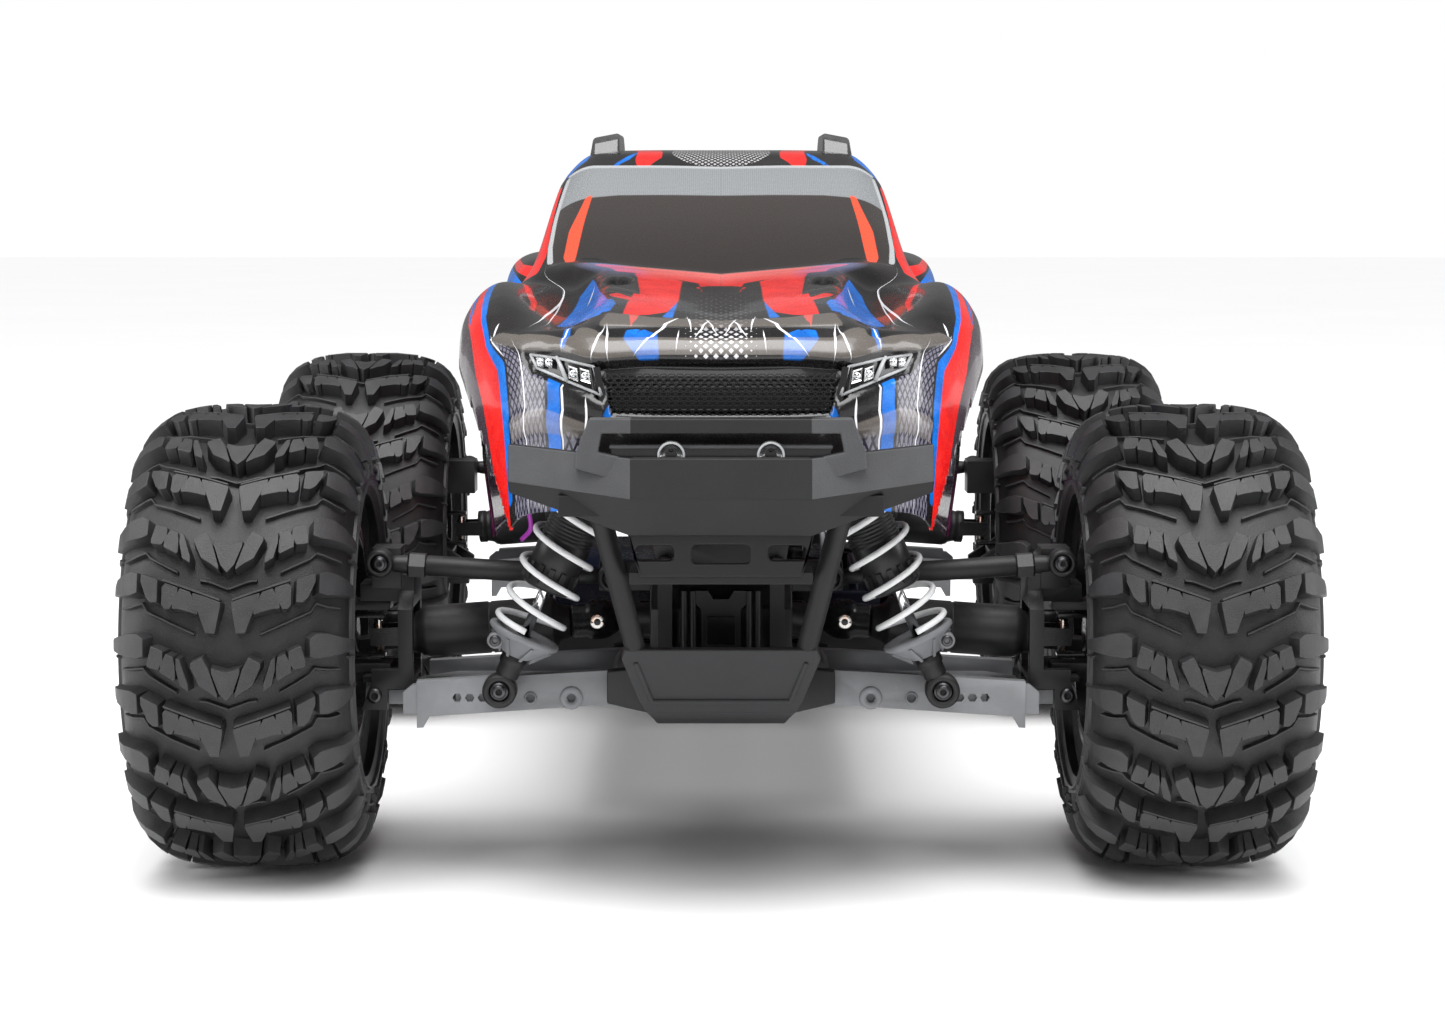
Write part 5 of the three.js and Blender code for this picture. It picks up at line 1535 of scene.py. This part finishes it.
def hub_fittings(place, name, front_end):
    """The bearing's face and screws, which steer with a front wheel, and the hub's hinge pin ends."""
    x = DRIVE_OUT[0]
    face = Vector(place(x + 9.4, 0, TYRE_R))
    inward = Vector(place(0, 0, 0)) - Vector(place(1, 0, 0))
    bearing = Build()
    bearing.add(
        *lathe_shape([(5, 0), (8.6, 0), (9, -0.3), (9, -0.9)], face, face + inward, 32), dark_steel, True
    )
    for y in (-7.6, 7.6):
        screw_shapes(bearing, Vector(place(x + 9.9, y, TYRE_R)), inward, 1.7, steel, socket_painted_shade, 0.9)
    mount(
        bearing, f"bearing_face_{name}", f"knuckle_{name}" if front_end else f"carrier_{name}"
    )
    pins = Build()
    for y in (-15.1, 15.1):
        at = Vector(place(ARM_OUT[0], y, ARM_OUT[1]))
        screw_shapes(
            pins, at, Vector(place(0, y, 0)) - Vector(place(0, 0, 0)), 2.4, dark_steel, socket_painted_shade, 1.0
        )
    mount(pins, f"hub_pins_{name}", f"caster_{name}" if front_end else f"carrier_{name}")


def place_along(place):
    """Puts an outline drawn in x and z at a depth along y, for prism_shape."""
    return lambda u, v, w: place(u, w, v)


def arm_fittings(place, name):
    """Raised rings round the arm's holes, discs set inside the holes, and the front beam's lip."""
    build = Build()
    outward = Vector(place(0, -1, 0)) - Vector(place(0, 0, 0))
    for x, radius in ((46.2, 3.6), (58.8, 2.0)):
        at = Vector(place(x, -ARM_HALF, 56.8))
        build.add(
            *lathe_shape(
                [(1.45, 0.0), (1.5, 0.7), (radius - 0.4, 0.7), (radius, 0.2), (radius, -0.3)], at,
                at + outward, 28
            ),
            arm_grey, True
        )
    # Near-black discs set inside the arm's holes: painted shade within them.
    for x in (73.7, 77.6, 81.5, 46.2, 58.8):
        at = Vector(place(x, -ARM_HALF + 2.6, 56.8))
        build.add(*lathe_shape([(0, 0), (1.7, 0)], at, at + outward, 16), socket_painted_shade)
    # The front beam's lip, which runs on to the wheel past the hub's clearance.
    lip = [(90.5, 51.6), (98.2, 51.6), (98.2, 58.4), (95.5, 60.6), (90.5, 60.9)]
    build.add(*prism_shape(lip, -ARM_HALF + 0.4, -ARM_HALF + 4.6, place_along(place)), arm_grey)
    mount(build, f"arm_fittings_{name}", f"arm_{name}")


def rim_fittings(place, name):
    """The wheel nut and the raised ring of the rim's face."""
    build = Build()
    outward = Vector(place(1, 0, 0)) - Vector(place(0, 0, 0))
    hub = Vector(place(TYRE_X + 16, 0, TYRE_R))
    build.add(
        *lathe_shape([(0, -1), (4.2, -1), (4.2, 0.3), (3.4, 0.9), (0, 0.9)], hub, hub + outward, 28), steel,
        True
    )
    build.add(
        *lathe_shape(
            [(0, 0.6), (3.3, 0.6), (3.5, 0.9), (3.5, 3.6), (3.1, 4), (1.8, 4), (1.8, 2.4), (0, 2.4)], hub,
            hub + outward, 6
        ),
        steel
    )
    build.add(
        *lathe_shape([(0, 2.2), (1.7, 2.3), (1.7, 4.6), (1.3, 5), (0, 5)], hub, hub + outward, 20),
        dark_steel, True
    )
    for k in range(6):
        a = 2 * math.pi * (k + 0.5) / 6
        root, tip = Vector(
            place(TYRE_X + 13.2, 9.5 * math.cos(a), TYRE_R + 9.5 * math.sin(a))
        ), Vector(place(TYRE_X + 12.2, 30 * math.cos(a), TYRE_R + 30 * math.sin(a)))
        along = (tip - root).normalized()
        wide = along.cross(outward).normalized()
        spoke = []
        for p, half_wide, drop in ((root, 4.2, 3.5), (root.lerp(tip, 0.5), 3.0, 1.6), (tip, 4.6, 0.4)):
            spoke += [
                p - wide * half_wide - outward * 3,
                p - wide * half_wide * 0.72 + outward * (2.0 - drop * 0.2),
                p + wide * half_wide * 0.72 + outward * (2.0 - drop * 0.2),
                p + wide * half_wide - outward * 3
            ]
        faces = [
            (4 * i + j, 4 * i + (j + 1) % 4, 4 * i + 4 + (j + 1) % 4, 4 * i + 4 + j) for i in (0, 1)
            for j in range(4)
        ] + [(3, 2, 1, 0), (8, 9, 10, 11)]
        build.add(spoke, faces, gloss_black)
    ring = Vector(place(TYRE_X + 27, 0, TYRE_R))
    build.add(
        *lathe_shape(
            [(31.4, 0), (31.4, 3.4), (32.4, 4.2), (34.6, 4.2), (35.8, 3.2), (35.8, 0)], ring,
            ring + outward, 72
        ),
        gloss_black, True
    )
    mount(build, f"rim_fittings_{name}", f"wheel_{name}", bevel=0.3, angle=40)


def battery_shrink():
    """Heat-shrunk film with a printed band and wrinkles."""
    s = Shader("battery_shrink")
    y = s.split(s.place)[1]
    band = s.times(s.spread(y, -0.03, -0.0295), s.spread(y, 0.03, 0.0295))
    tone = s.mix(band, (0.008, 0.01, 0.025), (0.012, 0.03, 0.09))
    creases = s.noise(120, 4, 0.7, 1.2)
    return s.set(
        Base_Color=tone, Roughness=s.spread(creases, 0.3, 0.7, 0.22, 0.36),
        Normal=s.bump(creases, 0.25 * MM)
    )


battery_wrap = battery_shrink()
controller_blue = moulded("controller_blue", (0.008, 0.011, 0.03), rough=0.35, grain=0.02)
motor_can = metal("motor_can", (0.08, 0.08, 0.085), 0.3)
gear_steel = metal("gear_steel", (0.5, 0.49, 0.47), 0.3)
lead_purple = moulded("lead_purple", (0.28, 0.03, 0.3), rough=0.35, grain=0.01)
shock_black = moulded("shock_black", (0.016, 0.016, 0.017), rough=0.36, grain=0.03, wear=0.2)
for end, fore, hand, side in CORNERS:
    name, front_end = f"{end}_{hand}", end == "front"
    place = corner_frame(fore, side)
    refine(f"lower_arm_{name}", arm_grey, 0.7)
    arm_fittings(place, name)
    shock_body(place, name)
    shock_shaft(place, name)
    shock_spring(place, name, side)
    camber_link(place, name)
    drive_joint(place, name)
    half_shaft(place, name)
    hub_fittings(place, name, front_end)
    refine(f"wheel_{name}", gloss_black, 0.5)
    rim_fittings(place, name)
    hub_nodes = ("caster_block", "steering_knuckle") if front_end else ("axle_carrier",)
    for node in hub_nodes:
        refine(f"{node}_{name}", black_plastic, 0.6)
    if front_end:
        toe_link(place, name)


# ---- Bumpers and skid plate ----
# A lighter copy of the smooth bumper plastic for the bar's upper facet and the hoop's top rail: painted light
# from above.
bumper_painted_lit = moulded("bumper_painted_lit", (0.01, 0.0102, 0.011), rough=0.58, grain=0.05, dust=0.03, wear=0.06)


def folded_bar(build, stations, wall, materials):
    """A bar bent along its length into facets; materials are (upper, lower) for each span, the upper facets
    lighter as painted light from above.
    """
    for (x0, *a), (x1, *b), (upper, lower) in zip(stations, stations[1:], materials):
        front = [(x, y, z) for x, points in ((x0, a), (x1, b)) for y, z in points]
        back = [(x, y + wall, z) for x, y, z in front]
        build.add([front[i] for i in (0, 1, 4, 3)], [(0, 1, 2, 3)], upper, False)
        build.add([front[i] for i in (1, 2, 5, 4)], [(0, 1, 2, 3)], lower, False)
        build.add(back, [(0, 3, 4, 1), (1, 4, 5, 2)], lower)
        for k in (0, 2):
            build.add([front[k], front[k + 3], back[k + 3], back[k]], [(0, 1, 2, 3)], lower)
    for x, *points in (stations[0], stations[-1]):
        rim = [(x, y, z) for y, z in points] + [(x, y + wall, z) for y, z in reversed(points)]
        build.add(rim, [tuple(range(6))], lower)


def welded(build, name, body, nodes, bevel, segments=2, angle=30):
    """Joins coincident points before rounding, so that neighbouring facets share their edges."""
    made = build.make(name)
    work = bmesh.new()
    work.from_mesh(made.data)
    bmesh.ops.remove_doubles(work, verts=work.verts, dist=0.02 * MM)
    bmesh.ops.recalc_face_normals(work, faces=work.faces)
    work.to_mesh(made.data)
    work.free()
    soften(made, bevel, segments, angle)
    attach(made, body)
    if nodes:
        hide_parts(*nodes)
    return made


def rounded_slot(u0, u1, v0, v1, radius, steps=4):
    points = []
    for cu, cv, start in (
        (u1 - radius, v1 - radius, 0), (u0 + radius, v1 - radius, 90), (u0 + radius, v0 + radius, 180),
        (u1 - radius, v0 + radius, 270)
    ):
        for k in range(steps + 1):
            a = math.radians(start + 90 * k / steps)
            points.append((cu + radius * math.cos(a), cv + radius * math.sin(a)))
    return points


def plate_with_holes(name, outline, holes, low, high, material, bevel=0.5):
    """A plate seen from the front, its holes cut through."""
    plate = Build().add(*prism_shape(outline, low, high, across), material).make(name)
    for hole in holes:
        cutter = Build().add(*prism_shape(hole, low - 2, high + 2, across), material).make("cutter")
        cut = plate.modifiers.new("hole", "BOOLEAN")
        cut.operation, cut.object, cut.solver = "DIFFERENCE", cutter, "EXACT"
        bpy.context.view_layer.objects.active = plate
        bpy.context.view_layer.update()
        applied = bpy.data.meshes.new_from_object(plate.evaluated_get(bpy.context.evaluated_depsgraph_get()))
        plate.modifiers.clear()
        plate.data = applied
        bpy.data.objects.remove(cutter)
    return soften(plate, bevel, 2, 30)


def front_bumper():
    front = -BUMPER_Y
    centre = [(front + 2, 138), (front, 126.6), (front + 7, 115.5)]
    tip = [(front + 14, 141), (front + 12, 130.5), (front + 16, 127)]
    bar = Build()
    stations = [(-60.4, *tip), (-25.5, *centre), (25.5, *centre), (60.4, *tip)]
    folded_bar(
        bar, stations, 4,
        [(bumper_grained_and_lit, bumper_smooth), (bumper_painted_lit, bumper_smooth), (bumper_grained_and_lit, bumper_smooth)]
    )
    welded(bar, "bumper_bar", "chassis", ["front_bumper"], 0.5)

    # The hoop: grained posts either side of a smooth top rail, the rail painted lighter as light from above,
    # over a darker lower panel.
    hoop = Build()
    low, high = front + 3.2, front + 9.4
    for side in (-1, 1):
        post = [
            (side * u, v)
            for u, v in (
                (41, 135), (40.5, 140), (37, 149), (25.4, 149), (25.4, 144.8), (33.5, 144.8), (34.5, 139.5),
                (25, 137.5), (24, 130)
            )
        ]
        hoop.add(*prism_shape(post, low, high, across), bumper_grained_and_lit)
    hoop.add(
        *prism_shape([(-25.4, 144.8), (25.4, 144.8), (25.4, 149), (-25.4, 149)], low, high, across),
        bumper_painted_lit
    )
    hoop.add(
        *prism_shape([(-25, 130), (25, 130), (25, 138.2), (-25, 138.2)], low, high, across), bumper_smooth
    )
    welded(hoop, "bumper_hoop", "chassis", [], 0.5)

    slots = [
        rounded_slot(-8.2, 8.2, 107.4, 112.8, 1.4), rounded_slot(13.4, 24.2, 108.2, 112.6, 1.6),
        rounded_slot(-24.2, -13.4, 108.2, 112.6, 1.6)
    ]
    apron = plate_with_holes(
        "bumper_apron", mirror_outline([(23, 103.6), (27.6, 120)]), slots, front + 8.6, front + 12,
        bumper_smooth, 0.6
    )
    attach(apron, "chassis")

    rest = Build()
    for side in (-1, 1):
        rest.add(
            *rod_shape((side * 35, front + 12.5, 124), (side * 25, front + 43, 77), 3.1, 28, chamfer=0.4),
            bumper_smooth, True
        )
    rest.add(*box_shape((-26, front + 9.2, 101.5), (26, front + 26, 104.8)), bumper_smooth)
    rest.add(*box_shape((-46, front + 7, 121), (46, front + 17, 127)), bumper_smooth)
    mount(rest, "bumper_frame", "chassis", bevel=0.5)

    # The light strip behind the hoop, with two round lamps.
    strip = Build()
    strip.add(*box_shape((-31, front + 5.6, 137), (31, front + 9.2, 140.6)), lamp_black)
    strip.add(*box_shape((-31.4, front + 5.0, 140.4), (31.4, front + 9.6, 141.4)), bumper_grained_and_lit)
    for x in (-14, 14):
        centre_at = Vector((x, front + 4.2, 138.6))
        strip.add(
            *lathe_shape(
                [(3.2, 0.4), (3.3, -0.6), (3.9, -0.6), (4.0, 2.5)], centre_at,
                centre_at + Vector((0, 1, 0)), 36
            ),
            lamp_white, True
        )
        strip.add(
            *lathe_shape(
                [(0, 1.9), (1.2, 1.7), (2.4, 1.0), (3.2, 0.2)], centre_at, centre_at + Vector((0, 1, 0)), 32
            ),
            lamp_silver, True
        )
        for k in range(3):
            angle = math.radians(90 + 120 * k)
            led = centre_at + Vector((1.5 * math.cos(angle), 1.4, 1.5 * math.sin(angle)))
            strip.add(
                *lathe_shape(
                    [(0, -0.9), (0.5, -0.7), (0.75, 0.2), (0.75, 1)], led, led + Vector((0, 1, 0)), 12
                ),
                lamp_black, True
            )
    mount(strip, "bumper_lamps", "chassis", bevel=0.25)


front_bumper()


def front_skid_plate():
    """A bent plate under the front gearbox with a stiffening rim, and its stem back to the chassis."""
    front = -BUMPER_Y
    stations = [
        ((front + 38.5, 78.4), (front + 41.4, 79.0), 28.2),
        ((front + 40.0, 75.2), (front + 42.8, 76.2), 29.4),
        ((front + 48.4, 60.6), (front + 51.0, 62.0), 24.0),
        ((front + 51.0, 57.6), (front + 53.0, 59.8), 22.6),
        ((-187, 51.4), (-186.4, 53.4), 21.0),
        ((-183, 49.4), (-183, 51.9), 20.0),
        ((34 - AXLE_Y, 49.4), (34 - AXLE_Y, 51.9), 20.0),
    ]
    build = Build()
    verts = [
        (x * half, *point) for outer, inner, half in stations
        for x, point in ((-1, outer), (1, outer), (1, inner), (-1, inner))
    ]
    last = 4 * (len(stations) - 1)
    faces = [
        (i + k, i + (k + 1) % 4, i + 4 + (k + 1) % 4, i + 4 + k) for i in range(0, last, 4)
        for k in range(4)
    ]
    build.add(verts, faces + [(3, 2, 1, 0), tuple(last + k for k in range(4))], skid_grey)
    welded(build, "skid_plate", "chassis", ["front_skid_plate"], 0.7)
    extras = Build()
    for side in (-1, 1):
        low, high = (side * 20.6, front + 47.8, 61.6), (side * 25.2, front + 40.6, 74.4)
        extras.add(*rod_shape(low, high, 0.8, 12, chamfer=0.2), skid_grey, True)
    extras.add(
        *rod_shape((-20.6, front + 47.8, 61.6), (20.6, front + 47.8, 61.6), 0.8, 12, chamfer=0.2),
        skid_grey, True
    )
    extras.add(*box_shape((-14, front + 50, 61), (14, -185.8, 67.5)), skid_grey)
    mount(extras, "skid_stem", "chassis", bevel=0.4)


front_skid_plate()
refine("rear_bumper", bumper_smooth, 0.7)

# ---- Chassis, gearboxes and electronics ----
for node, slot, material, bevel in (
    ("chassis", "black_plastic", black_plastic, 0.6),
    ("front_gearbox", "black_plastic", black_plastic, 1.2),
    ("rear_gearbox", "black_plastic", black_plastic, 1.2),
    ("front_shock_tower", "black_plastic", black_plastic, 0.5),
    ("rear_shock_tower", "black_plastic", black_plastic, 0.5),
    ("steering_servo", "black_plastic", gloss_black, 0.6),
    ("speed_controller", "controller_case", controller_blue, 0.8),
    ("battery_pack", "battery_wrap", battery_wrap, 1.6),
    ("motor", "motor_can", motor_can, 0.6),
    ("drag_link", "black_plastic", black_plastic, 0.5),
    ("centre_shaft", "gear_steel", gear_steel, 0.3),
    ("pinion_gear", "gear_steel", gear_steel, 0.2),
):
    refine(node, material, bevel)


def gearbox_front():
    """The ribbed nose of the gearbox behind the bumper's tubes."""
    build = Build()
    y = -AXLE_Y - 20
    for side in (-1, 1):
        build.add(
            *prism_shape(
                [(side * u, v) for u, v in ((15, 70), (19.5, 70), (19.5, 96), (15, 96))], y - 4.5, y + 1,
                across
            ),
            black_plastic
        )
        build.add(
            *rod_shape((side * 17.2, y - 4.6, 97), (side * 17.2, y + 1, 97), 3.6, 24, chamfer=0.4),
            black_plastic, True
        )
        screw_shapes(build, (side * 17.2, y - 4.6, 97), (0, -1, 0), 2.0, steel, socket_painted_shade, 0.9)
        build.add(
            *rod_shape((side * 11.4, y - 3.0, 71), (side * 11.4, y - 3.0, 90), 1.0, 16), black_plastic, True
        )
        build.add(
            *rod_shape((side * 8.6, y - 3.0, 71), (side * 8.6, y - 3.0, 90), 1.0, 16), black_plastic, True
        )
    build.add(
        *prism_shape(
            mirror_outline([(6, 72), (6, 84), (9.6, 88), (9.6, 90), (4, 90), (2.4, 87.4)]), y - 3.4, y + 1,
            across
        ),
        black_plastic
    )
    build.add(*prism_shape(mirror_outline([(4.4, 73.5), (4.4, 82)]), y - 4.6, y + 1, across), gloss_black)
    mount(build, "gearbox_front", "chassis", bevel=0.4)


gearbox_front()


def tower_fittings():
    """Body posts with their clips and the shock screws."""
    build = Build()
    for fore in (-1, 1):
        y = fore * (AXLE_Y + 17.8)
        for side in (-1, 1):
            at = Vector((side * 28.5, y - fore * 0.5, 148))
            screw_shapes(build, at + Vector((0, -fore * 4.2, 0)), (0, -fore, 0), 2.4, steel, socket_painted_shade, 1.0)
            post = Vector((side * 12, y, 142))
            build.add(
                *lathe_shape(
                    [(2.5, 0), (3.2, 0.4), (3.2, 2.2), (2.5, 2.6)], post + Vector((0, 0, 4)),
                    post + Vector((0, 0, 5)), 24
                ),
                black_plastic, True
            )
    mount(build, "tower_fittings", "chassis")


tower_fittings()


def purple_lead():
    """The short lead that shows between the bumper and the shell; both ends are inside."""
    path = smooth_path(
        [(-60, -205, 131), (-59, -206, 124), (-57.5, -206, 118), (-57, -203, 112), (-60, -197, 108)], 8
    )
    build = Build()
    build.add(*sweep_shape([tuple(p) for p in path], 0.7, 10), lead_purple, True)
    mount(build, "inner_lead", "chassis")


purple_lead()


# ---- Camera, lights and floor ----
camera = bpy.data.objects.new("camera", bpy.data.cameras.new("camera"))
camera.data.sensor_width = 36
camera.data.lens = 76.5
camera.data.shift_x = 0.001
camera.location = (0, -1.1165, 0.212)
camera.rotation_euler = (math.radians(90 - 5.83), 0, 0)
bpy.context.scene.collection.objects.link(camera)
bpy.context.scene.camera = camera

floor_shader = Shader("studio_floor")
floor_tone = floor_shader.mix(floor_shader.noise(3.0, 3), (0.86, 0.86, 0.86), (0.9, 0.9, 0.9))
floor_material = floor_shader.set(Base_Color=floor_tone, Roughness=0.7)
floor = piece(
    "floor", [(-9000, -9000, 0), (9000, -9000, 0), (9000, 9000, 0), (-9000, 9000, 0)], [(0, 1, 2, 3)],
    floor_material
)


def area_light(name, place, target, size, power, size_y=None):
    data = bpy.data.lights.new(name, "AREA")
    data.shape = "RECTANGLE"
    data.size, data.size_y, data.energy = size, size_y or size, power
    made = bpy.data.objects.new(name, data)
    made.matrix_world = Matrix.Translation(place) @ (
        Vector(target) - Vector(place)
    ).to_track_quat("-Z", "Y").to_matrix().to_4x4()
    bpy.context.scene.collection.objects.link(made)


area_light("top_softbox", (0, -0.45, 1.6), (0, 0, 0), 1.3, 14)
area_light("left_softbox", (1.6, -0.25, 0.7), (0, 0, 0.08), 0.7, 17, 1.4)
area_light("right_softbox", (-1.6, -0.25, 0.7), (0, 0, 0.08), 0.7, 17, 1.4)
area_light("front_fill", (0, -2.4, 1.3), (0, 0, 0.1), 1.0, 8)
overhead = bpy.data.objects.new("overhead", bpy.data.lights.new("overhead", "SUN"))
overhead.data.energy = 3.2
overhead.data.angle = math.radians(55)
overhead.rotation_euler = (math.radians(20), 0, 0)
bpy.context.scene.collection.objects.link(overhead)
world = bpy.data.worlds.new("studio")
world.use_nodes = True
sky = world.node_tree
dim = sky.nodes["Background"]
dim.inputs["Color"].default_value = (1, 1, 1, 1)
dim.inputs["Strength"].default_value = 0.22
bright = sky.nodes.new("ShaderNodeBackground")
bright.inputs["Color"].default_value = (1, 1, 1, 1)
seen = sky.nodes.new("ShaderNodeMixShader")
sky.links.new(sky.nodes.new("ShaderNodeLightPath").outputs["Is Camera Ray"], seen.inputs[0])
sky.links.new(dim.outputs[0], seen.inputs[1])
sky.links.new(bright.outputs[0], seen.inputs[2])
sky.links.new(seen.outputs[0], sky.nodes["World Output"].inputs["Surface"])
bpy.context.scene.world = world
bpy.context.scene.view_settings.view_transform = "Standard"
